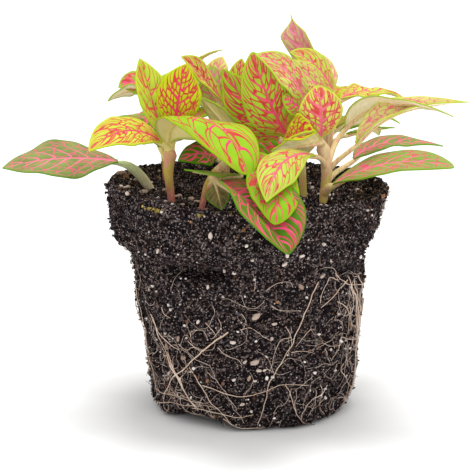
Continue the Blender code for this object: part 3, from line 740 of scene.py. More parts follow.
def leaf_upper_finish():
    """The veined upper side of every leaf."""
    leaf = Finish("leaf_upper_side")
    its = leaf_measures(leaf)
    youth, pinkness, spot, wander, shiver, v, reach, margin = (its[name] for name in (
        "youth", "pinkness", "spot", "wander", "shiver", "v", "reach", "margin"))
    off_middle = abs(its["x"] + wander * 0.5)
    midrib_half = (0.28 + pinkness * 0.34) * (1.08 - v)
    off_rib = off_ribs(its, 0.14, 0.05)
    rib_half = (0.12 + pinkness * 0.21) * (1.2 - reach * 0.66)
    off_net = off_nets(leaf, its)
    middle = line(off_middle, midrib_half)
    rib = line(off_rib, rib_half)
    spread = (pinkness - 0.8).clamped() * (1.0 - reach) * 0.26
    thin = line(off_net, 0.055 + pinkness * 0.075 + shiver * 0.06 + spread)
    glow = ((1.0 - v * 3.0) * (1.15 - reach * 1.5) * pinkness).clamped()
    veins = middle.most(rib).most(thin * 0.94).most(glow * 0.75)
    inside = ((margin - 0.45) / 0.5).clamped()
    veins = (veins * inside * (0.95 + wander * 0.3)).clamped()
    core = line(off_middle, midrib_half * 1.5, 0.5)
    core = core.most(line(off_rib, rib_half, 0.20) * (1.3 - reach)).most(glow)
    vein_colour = leaf.blend((core + (0.42 - youth) * 1.2).clamped(), RUBY, PINK)
    washed = (its["pale"] * (0.55 + core * 0.55) + (0.30 - youth) * 0.5).clamped()
    vein_colour = leaf.blend(washed, vein_colour, PALE_PINK)
    patches = leaf.mottle(spot, 0.16, 2.0)
    age = (youth + (patches - 0.5) * 0.26).clamped()
    skin = leaf.node("ShaderNodeValToRGB", {"stops": [
        (0.05, DEEP_GREEN), (0.38, GREEN), (0.68, LIME), (0.95, YELLOW_LIME)]}, {"Fac": age})
    skin = leaf.blend(its["pale"] * (0.35 + patches * 0.35), skin, WASHED)
    rim = leaf.blend((youth * 1.5 - 0.15).clamped(), MARGIN_GREEN, MARGIN_LIME)
    rim_share = (1.0 - (margin - 0.1) / 0.6).clamped()
    skin = leaf.blend(rim_share * 0.7, skin, rim)
    surface = leaf.blend(veins, skin, vein_colour)
    dome = (off_net * 0.6).clamped() - veins * 0.6
    roughness = 0.48 + shiver * 0.16
    # painted light: glow=0.1 makes the upper side give off its own colour, for light coming through the
    # blade
    return leaf.finish(surface, roughness, dome, depth=0.00022, strength=0.5, shine=0.06, glow=0.1)


# %% [markdown]
# The underside has no red. It is a dull, pale olive with the net standing out in cream, and it turns
# tan towards the stalk. On the oldest leaves it is brown.

# %% Underside
UNDER_COLOURS = [(0.05, colour(88, 76, 42)), (0.45, colour(190, 178, 92)),
                 (0.78, colour(226, 216, 150)), (1.0, colour(252, 244, 210))]
UNDER_TAN = colour(196, 180, 116)
UNDER_VEINS = colour(228, 212, 178)


def leaf_under_finish():
    """The pale underside of every leaf."""
    leaf = Finish("leaf_underside")
    its = leaf_measures(leaf)
    veins = line(abs(its["x"]), 0.4, 0.3).most(line(off_ribs(its, 0.26, 0.12), 0.12, 0.14))
    veins = veins.most(line(off_nets(leaf, its), 0.05) * 0.6)
    skin = leaf.node("ShaderNodeValToRGB", {"stops": UNDER_COLOURS},
                     {"Fac": (its["back"] + its["wander"] * 0.25).clamped()})
    tan = ((0.9 - its["v"] * 1.4) * 0.5 + its["wander"] * 0.4).clamped()
    skin = leaf.blend(tan * (0.1 + its["back"] * 0.6), skin, UNDER_TAN)
    rim = (1.0 - (its["margin"] - 0.3) / 0.9).clamped()
    skin = leaf.blend(rim * 0.7, skin, leaf.blend(its["youth"].clamped(), MARGIN_GREEN, MARGIN_LIME))
    surface = leaf.blend(veins * (0.15 + its["back"] * 0.35), skin, UNDER_VEINS)
    # painted light: glow=0.1 makes the underside give off its own colour, for light coming through the
    # blade
    return leaf.finish(surface, 0.6 + its["shiver"] * 0.12, veins, shine=0.1, glow=0.1)


leaf_upper = leaf_upper_finish()
leaf_under = leaf_under_finish()
print("leaf finishes:", leaf_upper.name, "and", leaf_under.name)

# %% [markdown]
# ## Stems and leaf stalks
#
# The stems are short and fleshy, olive where they are young and reddish brown at the soil, with a
# whitish down. The front ones end in a tan and pinkish crown. Each leaf stalk has a paler skin of its
# own. It leaves the stem at a small knuckle and runs on under the blade as the midrib that can be felt
# on its underside. All are round and tapering, so they are drawn as curves with a radius at each point
# and turned into meshes.

# %% Finish of the stems
STEM_CHANGE = (0.081, 0.008)    # the height in metres where the lower colour ends, and over how much
PALE_STEM_CHANGE = (0.086, 0.007)
CROWN_CHANGE = (0.090, 0.005)   # the same for the crown's colour
DOWN = colour(236, 228, 204)


def stem_finish(name, low, high, blush, blush_share, change=STEM_CHANGE, crown=None):
    """The skin of a stem: one colour at the soil, others above it, streaked along it and downy."""
    stem = Finish(name)
    place = stem.place()
    x, y, z = stem.split(place)
    streaks = stem.mottle(stem.joined(x * 3.0, y * 3.0, z * 0.4), 500, 3.0)
    grains = stem.mottle(place, 1500, 2.0)
    risen = ((z - change[0]) / change[1] + (streaks - 0.5) * 0.8).clamped()
    skin = stem.blend(risen, low, high)
    if crown:
        risen = (z - CROWN_CHANGE[0]) / CROWN_CHANGE[1] + (streaks - 0.5) * 3.0
        skin = stem.blend(risen.clamped() * 0.8, skin, crown)
    skin = stem.blend((streaks * 5.0 - 2.4).clamped() * blush_share, skin, blush)
    skin = stem.blend((grains * 4.0 - 2.1).clamped() * 0.2, skin, DOWN)
    # painted light: glow=0.1 makes the stem give off its own colour, which brightens its shaded side
    return stem.finish(skin, 0.5 + grains * 0.2, streaks + grains * 0.4, strength=0.35, shine=0.1,
                       glow=0.1)


stem_skin = stem_finish("stem_skin", colour(166, 96, 86), colour(180, 164, 64),
                        colour(208, 126, 124), 0.6, crown=colour(200, 150, 114))
pale_stem_skin = stem_finish("pale_stem_skin", colour(184, 168, 82), colour(220, 200, 152),
                             colour(212, 122, 128), 0.8, PALE_STEM_CHANGE)
green_stem_skin = stem_finish("green_stem_skin", colour(206, 190, 156), colour(180, 192, 138),
                              colour(150, 162, 104), 0.6)
stalk_skin = stem_finish("stalk_skin", colour(190, 176, 96), colour(216, 200, 142),
                         colour(216, 122, 128), 0.8)
olive_stalk_skin = stem_finish("olive_stalk_skin", colour(210, 196, 104), colour(214, 202, 124),
                               colour(206, 150, 124), 0.5)
stem_skins = {"right": [pale_stem_skin, stalk_skin], "back_right": [pale_stem_skin, stalk_skin],
              "centre": [pale_stem_skin, stalk_skin], "left": [stem_skin, olive_stalk_skin],
              "low_left": [green_stem_skin, green_stem_skin]}
print(len(stem_skins), "stems have finishes of their own, the others", stem_skin.name, "and",
      stalk_skin.name)

# %% Stems with their leaves
STEM_FOOT = 68.0
STALK_RISE = 0.4
STALK_SPREAD = 0.5       # how much thicker a stalk is where it leaves the stem
HIDDEN_RIB = 0.86        # where along the blade the midrib under it ends
RIB_SINK = 0.95          # how deep the midrib lies under the blade, as a share of its radius
LOW_NODE = 84.0          # a leaf that leaves its stem lower than this has a broad stalk
BROAD_STALK = 1.7        # how much thicker such a stalk is halfway
STEM_FLARE = ((0.0, 0.72), (0.35, 0.85), (0.88, 1.15), (1.0, 0.7))   # thickness from foot to top
KNUCKLE = 0.05           # how much thicker a stem is where a stalk leaves it
KNUCKLE_HALF_HEIGHT = 1.6


def stem_path(stem):
    foot = (stem.points[0][0], stem.points[0][1], STEM_FOOT)
    return np.concatenate([[foot], along_all(stem.points, 8)])


def stalk_run(leaf, path):
    """The leaf stalk from inside the stem, and the midrib under the blade, with the radii. It leaves
    the stem a little upwards and meets the blade in the blade's own direction."""
    start = np.array([np.interp(leaf.node, path[:, 2], path[:, axis]) for axis in range(3)])
    base = np.array(leaf.spine[0], float)
    reach = np.linalg.norm(base - start)
    leave = unit(base - start + np.array([0, 0, STALK_RISE * reach]))
    points, along, face = midrib(leaf, np.linspace(0, HIDDEN_RIB, 12))
    t = np.linspace(0, 1, 9)[:-1, None]
    stalk = ((1 + 2 * t) * (1 - t) ** 2 * start + t * (1 - t) ** 2 * reach * leave
             + t ** 2 * (3 - 2 * t) * base + t ** 2 * (t - 1) * reach * along[0])
    thick = min(1.0, 0.55 + leaf.width / 40)
    stalk_radii = thick * (1.0 + STALK_SPREAD * (1 - t[:, 0]) ** 3)
    if leaf.node < LOW_NODE:
        stalk_radii = stalk_radii * (1 + (BROAD_STALK - 1) * 4 * t[:, 0] * (1 - t[:, 0]))
    rib_radii = thick * np.linspace(0.92, 0.22, 12) ** 1.3
    depth = rib_radii * RIB_SINK + GROOVE
    stalk -= face[0] * (t ** 3) * depth[0]
    sunk = points - face * depth[:, None]
    return np.concatenate([stalk, sunk]), np.concatenate([stalk_radii, rib_radii]), 1


leaf_number = 0
for stem in STEMS:
    path = stem_path(stem)
    radii = stem.radius * np.interp(np.linspace(0, 1, len(path)), *zip(*STEM_FLARE))
    for leaf in stem.leaves:
        radii *= 1 + KNUCKLE * np.exp(-((path[:, 2] - leaf.node) / KNUCKLE_HALF_HEIGHT) ** 2)
    runs = [(path, radii, 0)] + [stalk_run(leaf, path) for leaf in stem.leaves]
    shoot = tubes("shoot", runs, stem_skins.get(stem.name, [stem_skin, stalk_skin]), sides=3)
    hand_over(shoot, "shoot_" + stem.name, "stem_" + stem.name)
    blades = []
    for leaf in stem.leaves:
        blades.append(blade(leaf, leaf_number, [leaf_upper, leaf_under]))
        leaf_number += 1
    leaves = hand_over(join_all(blades), "leaves_" + stem.name, "stem_" + stem.name)
    print(leaves.name, "has", len(leaves.data.polygons), "faces and", shoot.name,
          len(shoot.data.polygons))

# %% [markdown]
# ## The root ball
#
# The ball is potting mix: crumbs of black peat and bark, from dust to two millimetres. It keeps the
# pot's shape, with a wide collar that narrows into the tapering body, a rounded foot and a piece
# broken from its edge. At the left the collar ends in a sharper step with a dark hollow in front of
# it, and at the right it has crumbled a little. Close up it is all grain, so a smooth body with a
# bumpy finish would not do: its outline has to be rough as well. One grid is wrapped into the whole
# closed form, from the middle of the foot, up the side and over the rim to the middle of the soil, and
# every point is then moved by coarse lumps and by round grains, both from noise.

# %% The form of the ball
COLLAR_RADIUS = 50.5
COLLAR_FOOT_RADIUS = 49.0
BODY_RADIUS = 42.5
FOOT_RADIUS = 35.0
FOOT_ROUNDING = 5.0
BODY_TOP = 59.0
COLLAR_FOOT = 69.0
SOIL_TOP = 78.0
RIM_TOP = 82.5           # the rim stands higher than the soil in the middle
RIM_ROUNDING = 1.8
RIM_INSIDE = (49.0, 46.0, 40.0, 31.0)   # the soil rises to the rim at these radii
RIM_RISES = (4.2, 2.8, 0.8, 0.0)
LEAN = 1.5
COARSE_SIZE = 17.0
COARSE_HEIGHT = 1.2
FINE_SIZE = 6.5
FINE_HEIGHT = 1.0
FINE_SHIFT = Vector((3, 1, 7))
LARGE_GRAIN = 2.4
SMALL_GRAIN = 1.15
DUST = 0.8
CHIP_ANGLE = math.radians(234)          # the piece broken from the foot
CHIP_WIDTH = math.radians(24)
CHIP_DEPTH = 2.4
CHIP_REACH = 11.0
CHIP_RISE = 2.8
UNDERCUT_ANGLE = math.radians(244)      # the dark hollow under the collar
UNDERCUT_WIDTH = math.radians(18)
UNDERCUT_HEIGHT = 58.0
UNDERCUT_HALF_HEIGHT = 2.2
UNDERCUT_DEPTH = 7.5
LEDGE_ANGLE = math.radians(200)         # where the collar ends in a sharper step
LEDGE_WIDTH = math.radians(42)
LEDGE_HEIGHT = 64.0
LEDGE_HALF_HEIGHT = 2.6
LEDGE_DEPTH = 2.2
LEFT_RISE = 1.6          # how much higher the collar's left side stands
RIGHT_BULGES = (   # height, half height and depth: the slimmer collar and the fuller foot at the right
    (71.0, 9.0, -2.2),
    (22.0, 16.0, 1.5),
)


def outward(angle):
    return np.array([math.cos(angle), math.sin(angle), 0.0])


def lumps(point):
    """The coarse relief that the frame's solid has too."""
    coarse = noise.noise(Vector(point) / COARSE_SIZE)
    fine = noise.noise(Vector(point) / FINE_SIZE + FINE_SHIFT)
    return COARSE_HEIGHT * coarse + FINE_HEIGHT * fine


def grains(point):
    """The grain of the mix: round crumbs of two sizes, and dust."""
    spot = Vector(point)
    large = noise.voronoi(spot / LARGE_GRAIN)[0][0]
    small = noise.voronoi(spot / SMALL_GRAIN)[0][0]
    dust = noise.noise(spot / DUST)
    return 1.15 * (0.45 - large) + 0.9 * (0.45 - small) + 0.3 * dust


def ball_radius(height):
    """The ball's radius at a height, before its relief."""
    heights = (0.0, BODY_TOP, COLLAR_FOOT, RIM_TOP)
    radii = (FOOT_RADIUS, BODY_RADIUS, COLLAR_FOOT_RADIUS, COLLAR_RADIUS)
    radius = np.interp(height, heights, radii)
    below = max(0.0, FOOT_ROUNDING - height)
    radius -= FOOT_ROUNDING - math.sqrt(FOOT_ROUNDING ** 2 - below ** 2)
    above = max(0.0, height - RIM_TOP + RIM_ROUNDING)
    radius -= RIM_ROUNDING - math.sqrt(max(0.0, RIM_ROUNDING ** 2 - above ** 2))
    return radius


def turned(angle, middle):
    """How far an angle is from a middle one, either way."""
    return (angle - middle + math.pi) % (2 * math.pi) - math.pi


def near_angle(angle, middle, width, power):
    """One near an angle and nought away from it. A high power makes the change sharp."""
    return math.exp(-(turned(angle, middle) / width) ** power)


def near_height(height, middle, half):
    """One near a height and nought away from it."""
    return math.exp(-((height - middle) / half) ** 2)


def side_point(angle, height, lift=0.0):
    """A point of the ball's side, in mm."""
    lean = LEAN * (1 - height / SOIL_TOP)
    point = outward(angle) * ball_radius(height) + (lean, 0, height)
    shift = lumps(point) + lift
    ledge = near_angle(angle, LEDGE_ANGLE, LEDGE_WIDTH, 4)
    shift += LEDGE_DEPTH * ledge * near_height(height, LEDGE_HEIGHT, LEDGE_HALF_HEIGHT)
    for middle, half, depth in RIGHT_BULGES:
        shift += depth * max(0.0, math.cos(angle)) ** 2 * near_height(height, middle, half)
    hollow = near_angle(angle, UNDERCUT_ANGLE, UNDERCUT_WIDTH, 4)
    shift -= UNDERCUT_DEPTH * hollow * near_height(height, UNDERCUT_HEIGHT, UNDERCUT_HALF_HEIGHT)
    broken = near_angle(angle, CHIP_ANGLE, CHIP_WIDTH, 6) * max(0.0, 1 - height / CHIP_REACH)
    point = point + outward(angle) * (shift - CHIP_DEPTH * broken)
    point[2] += CHIP_RISE * broken - LEFT_RISE * min(0.0, math.cos(angle)) * (height / RIM_TOP) ** 4
    return point


def soil_point(x, y, lift=0.0):
    """A point of the uneven soil on top, in mm."""
    rise = np.interp(math.hypot(x, y), RIM_INSIDE[::-1], RIM_RISES[::-1])
    rise += LEFT_RISE * max(0.0, -x / COLLAR_RADIUS)
    point = np.array([x, y, SOIL_TOP + rise])
    return point + (0, 0, lumps(point) + lift)


print("the ball narrows from", 2 * COLLAR_RADIUS, "to", 2 * FOOT_RADIUS, "mm")

# %% [markdown]
# The grid's columns run round the ball and its rows from the middle of the foot to the middle of the
# soil. The first and last rows shrink to points, and merging doubles closes them and the seam.

# %% The ball's skin
COLUMNS = 430
FOOT_ROWS = 10
SIDE_ROWS = 146
TOP_ROWS = 60
ROWS = FOOT_ROWS + SIDE_ROWS + TOP_ROWS
SIDE_TOP = RIM_TOP - 0.05   # just under the rim's edge, where the rounding is still steep
SOIL_EDGE = 0.6             # how far inside the side's last row the soil's first one lies
SEAM = 1e-4                 # in radians, how close to a whole turn a column counts as the first


def ball_row(row):
    """What a row of the grid lies on: the foot, the side or the top, and how far along."""
    if row < FOOT_ROWS:
        return "foot", row / FOOT_ROWS
    if row < FOOT_ROWS + SIDE_ROWS:
        return "side", (row - FOOT_ROWS) / (SIDE_ROWS - 1)
    return "top", (row - FOOT_ROWS - SIDE_ROWS + 1) / TOP_ROWS


def ball_point(row, angle):
    """Where a point of the grid goes on the ball, grains and all."""
    part, share = ball_row(row)
    if part == "foot":
        return side_point(angle, 0.0) * (share, share, share ** 6)
    if part == "side":
        height = SIDE_TOP * share
        point = side_point(angle, height)
        rim = max(0.0, (height - RIM_TOP + RIM_ROUNDING) / RIM_ROUNDING)
        way = unit(outward(angle) * (1 - 0.7 * rim) + (0, 0, rim))
        return point + way * grains(point) * min(1.0, 0.25 + height / 4)
    edge = ball_radius(SIDE_TOP) - SOIL_EDGE
    point = soil_point(*(outward(angle)[:2] * edge * (1 - share)))
    return point + (0, 0, 1.5 * grains(point) + 0.4)


def soil_finish():
    """Damp potting mix: black peat with greyish bark and paler fibre in it."""
    soil = Finish("potting_mix")
    place = soil.place()
    wide = soil.mottle(place, 120, 3.0)
    grain = soil.mottle(place, 900, 3.0, 0.6)
    crumb = soil.node("ShaderNodeTexVoronoi", {}, {"Vector": place, "Scale": 1100}, output="Color")
    dust = soil.node("ShaderNodeTexVoronoi", {}, {"Vector": place, "Scale": 2300}, output="Color")
    tone, warmth, _ = soil.split(crumb)
    fine_tone, _, _ = soil.split(dust)
    dark = soil.blend((grain * 2.0 - 0.6).clamped(), colour(5, 3, 5), colour(44, 36, 38))
    bark = soil.blend(warmth, colour(70, 60, 60), colour(116, 100, 96))
    mix = soil.blend(((tone - 0.76) * 7 + (wide - 0.5) * 1.5).clamped() * 0.8, dark, bark)
    mix = soil.blend(((fine_tone - 0.86) * 12).clamped() * 0.8, mix, colour(164, 150, 146))
    return soil.finish(mix, 0.86 - grain * 0.2, grain + tone * 0.8, depth=0.0007, strength=1.0,
                       shine=0.03)


def on_ball(piece, name):
    """Hand over a piece that belongs to the ball."""
    return hand_over(piece, name, "root_ball")


potting_mix = soil_finish()
bpy.ops.object.select_all(action="DESELECT")
bpy.ops.mesh.primitive_grid_add(x_subdivisions=COLUMNS, y_subdivisions=ROWS, size=2)
ball = bpy.context.object
for vertex in ball.data.vertices:
    row = round((vertex.co.y + 1) / 2 * ROWS)
    turn = math.pi * (vertex.co.x + 1)
    turn = 0.0 if turn > 2 * math.pi - SEAM else turn
    vertex.co = Vector(ball_point(row, turn)) * MM
bpy.ops.object.mode_set(mode="EDIT")
bpy.ops.mesh.select_all(action="SELECT")
bpy.ops.mesh.remove_doubles(threshold=0.002 * MM)
bpy.ops.mesh.normals_make_consistent(inside=False)
bpy.ops.object.mode_set(mode="OBJECT")
bpy.ops.object.shade_smooth()
ball.data.materials.append(potting_mix)
on_ball(ball, "root_ball_skin")
print(ball.name, "has", len(ball.data.polygons), "faces")

# %% [markdown]
# ## Crumbs, perlite and bark
#
# Loose crumbs stand out all over the ball and break its outline. White perlite is scattered through
# the mix as angular popcorn from dust to two millimetres, pebbles and larger perlite lie in it, and
# here and there a chip of brown bark shows. A crumb is modelled once as a low ball whose points are
# pushed about, and copied many times at other sizes and turns. Thousands of copies have to be light,
# so each has twenty faces. The finest grit is splinters with eight faces, made from a small cone, and
# only the few large pebbles have eighty.

# %% One crumb, many copies
CRUMB_FORMS = ((1.0, 0.8, 0.7), (1.5, 0.6, 0.5), (2.0, 0.45, 0.4), (1.0, 0.7, 0.5), (1.7, 0.5, 0.5))
SPLINTER_FORM = (2.5, 0.45, 0.45)
SOIL_RADIUS = 47.5       # how far out on the top crumbs lie
LOWEST = 1.2             # a crumb's middle lies at least this high
UPWARD = np.array([0, 0, 1.0])


def rough_crumb(seed, form, facets=20):
    """The points and faces of one angular crumb, about one across, with 8, 20 or 80 facets."""
    bpy.ops.object.select_all(action="DESELECT")
    if facets == 8:
        bpy.ops.mesh.primitive_cone_add(vertices=4, radius1=0.5, depth=0.8, end_fill_type="TRIFAN")
    else:
        bpy.ops.mesh.primitive_ico_sphere_add(subdivisions=1 if facets == 20 else 2, radius=0.5)
    made = bpy.context.object
    chance = random.Random(seed)
    rough = 0.12 if facets == 80 else 0.28
    points = [vertex.co * chance.uniform(1 - rough, 1 + rough) for vertex in made.data.vertices]
    faces = np.array([face.vertices for face in made.data.polygons])
    bpy.data.objects.remove(made, do_unlink=True)
    return np.array(points) * form, faces


def any_turn(chance):
    """A random turn in space, as a matrix."""
    return np.linalg.qr(np.array([[chance.gauss(0, 1) for _ in range(3)] for _ in range(3)]))[0]


def in_undercut(angle, height):
    """Whether a place lies in the dark gap under the collar, where nothing is seen."""
    near = abs(height - UNDERCUT_HEIGHT) < 1.1 * UNDERCUT_HALF_HEIGHT
    return near and abs(turned(angle, UNDERCUT_ANGLE)) < UNDERCUT_WIDTH


def anywhere(chance, top_share):
    """A random place on the ball's side or on its soil, with the way out of it."""
    if chance.random() < top_share:
        angle = chance.uniform(0, 2 * math.pi)
        radius = SOIL_RADIUS * math.sqrt(chance.random())
        return soil_point(radius * math.cos(angle), radius * math.sin(angle), 0.4), UPWARD
    angle, height = UNDERCUT_ANGLE, UNDERCUT_HEIGHT
    while in_undercut(angle, height):
        angle = chance.uniform(0, 2 * math.pi)
        height = chance.uniform(LOWEST, RIM_TOP - 1.0)
    return side_point(angle, height), outward(angle)


def scatter(name, shapes, places, finish):
    """One mesh of many crumbs. Each place is a middle in mm, a size in mm, a turn and a tint."""
    points = []
    faces = []
    tints = []
    for count, (middle, size, turn, tint) in enumerate(places):
        shape_points, shape_faces = shapes[count % len(shapes)]
        mirrored = np.linalg.det(turn) < 0
        points.append(shape_points @ turn.T * size + middle)
        faces.append((shape_faces[:, ::-1] if mirrored else shape_faces) + len(shape_points) * count)
        tints += [tint] * len(shape_points)
    mesh = bpy.data.meshes.new(name)
    mesh.from_pydata((np.concatenate(points) * MM).tolist(), [], np.concatenate(faces).tolist())
    layer = mesh.attributes.new("tint", "FLOAT", "POINT")
    layer.data.foreach_set("value", np.array(tints, np.float32))
    mesh.materials.append(finish)
    return on_ball(new_piece(name, mesh), name)


def crumb_finish(name, low, high, roughness, warm=None):
    """Crumbs of one stuff, each with its own tint, and warmer here and there."""
    crumb = Finish(name)
    place = crumb.place()
    tint = crumb.node("ShaderNodeAttribute", {"attribute_name": "tint"}, output="Fac")
    pores = crumb.mottle(place, 1800, 2.0)
    if warm:
        high = crumb.blend((crumb.mottle(place, 130, 2.0) * 4.0 - 1.6).clamped(), high, warm)
    shade = crumb.blend((tint + (pores - 0.5) * 0.8).clamped(), low, high)
    return crumb.finish(shade, roughness, pores, strength=0.6, shine=0.04)


perlite_shapes = [rough_crumb(seed, CRUMB_FORMS[0]) for seed in range(5)]
crumb_shapes = [rough_crumb(seed, form) for seed, form in enumerate(CRUMB_FORMS)]
grit_shapes = [rough_crumb(seed, SPLINTER_FORM, facets=8) for seed in range(5)]
print("a crumb has", len(crumb_shapes[0][1]), "faces and a splinter", len(grit_shapes[0][1]))

# %% [markdown]
# The peat's own crumbs lie in clumps with bare peat between them, because evenly strewn they look
# like sand. Few are large and few are pale.

# %% Peat crumbs
PEAT = (   # name, how many, the smallest and the largest in mm, shapes
    ("peat_crumbs", 6500, 0.5, 1.7, crumb_shapes),
    ("peat_grit", 20000, 0.35, 0.9, grit_shapes),
)
PEAT_TOP_SHARE = 0.30
CLUMP_SIZE = 2.2
CLUMP_EDGE = -0.08
FEW_LARGE = 2.5
FEW_PALE = 3.5


def peat_places(seed, count, least, most):
    """Places, sizes, turns and tints of many crumbs of peat."""
    chance = random.Random(seed)
    found = []
    for _ in range(count):
        middle, way = anywhere(chance, PEAT_TOP_SHARE)
        while noise.noise(Vector(middle) / CLUMP_SIZE) < CLUMP_EDGE:
            middle, way = anywhere(chance, PEAT_TOP_SHARE)
        size = least + (most - least) * chance.random() ** FEW_LARGE
        found.append((middle + way * size * chance.uniform(0.1, 0.5), size, any_turn(chance),
                      chance.random() ** FEW_PALE))
    return found


peat_finish = crumb_finish("peat_crumbs", colour(4, 3, 4), colour(108, 102, 108), 0.85,
                           colour(132, 100, 88))
for name, count, least, most, shapes in PEAT:
    peat = scatter(name, shapes, peat_places(count, count, least, most), peat_finish)
    print(peat.name, "has", count, "crumbs")

# %% Perlite
PERLITE = 1500
PERLITE_TOP_SHARE = 0.25
chance = random.Random(23)
perlite_places = []
for _ in range(PERLITE):
    middle, way = anywhere(chance, PERLITE_TOP_SHARE)
    size = 0.38 + 1.5 * chance.random() ** 6
    middle = middle + way * (0.25 + size * 0.15)
    perlite_places.append((middle, size, any_turn(chance), chance.random()))
perlite_finish = crumb_finish("perlite", colour(190, 172, 162), colour(252, 246, 242), 0.8)
perlite = scatter("perlite", perlite_shapes, perlite_places, perlite_finish)
print(perlite.name, "has", PERLITE, "chips")

# %% [markdown]
# The largest pebbles and chips are what the eye remembers of such a ball, so they are listed one by
# one, the long ones along the wall of the ball and tan ones on the soil at the left.

# %% Pebbles laid one by one
SIDE_PEBBLES = [   # degrees round the ball, height, length in mm, slope in degrees, paleness
    (273, 44, 3.6, 35, 0.3), (272, 27, 3.4, 20, 0.4), (267, 27, 1.9, 40, 0.4), (274, 24, 2.1, 0, 0.6),
    (277, 24, 1.5, 20, 0.8), (269, 21, 2.3, 70, 0.2), (272, 20, 1.5, 0, 0.7), (282, 41, 2, 10, 0.6),
    (230, 33, 2.2, 80, 0.2), (232, 26, 2.4, 20, 0.1), (261, 34, 2.3, 0, 0.9), (244, 41, 1.9, 60, 0.9),
    (295, 54, 2.6, 130, 0.1), (286, 63, 2.3, 30, 0.9), (286, 67, 2.3, 90, 1), (293, 66, 2, 10, 0.9),
    (212, 49, 2.2, 60, 0.2), (250, 54, 1.7, 80, 0.8), (306, 57, 2.4, 30, 0.3), (338, 6, 2.4, 90, 0.3),
    (265, 11, 1.9, 20, 0.5), (320, 20, 1.6, 0, 0.8), (258, 60, 1.7, 100, 0.6), (255, 74, 2.6, 90, 0.7),
    (230, 66, 1.9, 70, 0.7), (204, 63, 1.7, 0, 1), (221, 29, 2.3, 110, 0.1), (320, 41, 1.8, 0, 0.5),
]
SOIL_PEBBLES = [   # place, length in mm, slope in degrees, paleness
    (-46, 12, 4.2, 10, 0.1), (-43, -4, 3, 60, 0.3), (-41, 12, 2.6, 80, 0.1), (-37, -6, 3.2, 0, 0.3),
    (-25, -6, 3.6, 20, 0.1), (-20, -9, 3.6, 120, 0.1), (-18, -14, 2.6, 150, 0.1),
    (-42, -28, 2.8, 100, 0.6), (-30, 4, 2.2, 40, 0.2), (-23, -19, 2.4, 10, 0.2),
    (-14, -3, 2.2, 70, 0.2), (40, 6, 2, 30, 0.7),
]
SIDE_PEBBLE_LIFT = 0.55
SOIL_PEBBLE_LIFT = 0.9


def lying(way, slope):
    """The turn that lays a pebble's length on a surface, at a slope seen from outside."""
    flat = abs(way[2]) > 0.9
    across = unit(np.cross((0, 1, 0) if flat else (0, 0, 1), way))
    up = np.cross(way, across)
    slope = math.radians(slope)
    length = across * math.cos(slope) + up * math.sin(slope)
    return np.column_stack([length, np.cross(way, length), way])


pebble_shapes = [rough_crumb(seed, (1.0, 0.55, 0.5), facets=80) for seed in range(60, 64)]
pebble_places = []
for angle, height, length, slope, paleness in SIDE_PEBBLES:
    angle = math.radians(angle)
    middle = side_point(angle, height, SIDE_PEBBLE_LIFT)
    pebble_places.append((middle, length, lying(outward(angle), slope), paleness))
for x, y, length, slope, paleness in SOIL_PEBBLES:
    middle = soil_point(x, y, SOIL_PEBBLE_LIFT)
    pebble_places.append((middle, length, lying(UPWARD, slope), paleness))
pebble_finish = crumb_finish("pebbles", colour(150, 124, 106), colour(228, 214, 204), 0.75)
pebbles = scatter("pebbles", pebble_shapes, pebble_places, pebble_finish)
print(pebbles.name, "are", len(pebble_places))

# %% Bark chips
BARK_CHIPS = 90
BARK_TOP_SHARE = 0.35
chance = random.Random(31)
bark_places = []
for _ in range(BARK_CHIPS):
    middle, way = anywhere(chance, BARK_TOP_SHARE)
    size = 1.0 + 1.8 * chance.random() ** 2
    bark_places.append((middle + way * 0.35, size, any_turn(chance), chance.random()))
bark_finish = crumb_finish("bark_chips", colour(84, 54, 40), colour(160, 120, 88), 0.75)
bark_shapes = [rough_crumb(seed, (1.0, 1.0, 0.45)) for seed in range(40, 43)]
bark = scatter("bark_chips", bark_shapes, bark_places, bark_finish)
print(bark.name, "has", BARK_CHIPS, "chips")

# %% [markdown]
# On the collar's front edge lie a few yellow bits, crumbs of dead moss and old leaf.

# %% Yellow bits on the rim
YELLOW_BITS = ((231.5, 2.6, 44), (250.8, 1.2, 18))    # degrees round the ball, spread and how many
YELLOW_HEIGHTS = (79.9, 81.0)
YELLOW_SIZES = (0.4, 1.0)
chance = random.Random(52)
yellow_places = []
for angle, spread, count in YELLOW_BITS:
    for _ in range(count):
        turn = math.radians(chance.gauss(angle, spread))
        middle = side_point(turn, chance.uniform(*YELLOW_HEIGHTS), 0.5)
        size = chance.uniform(*YELLOW_SIZES)
        yellow_places.append((middle, size, any_turn(chance), chance.random()))
yellow_finish = crumb_finish("yellow_bits", colour(92, 76, 40), colour(182, 162, 84), 0.8)
yellow_bits = scatter("yellow_bits", bark_shapes, yellow_places, yellow_finish)
print(yellow_bits.name, "are", len(yellow_places))
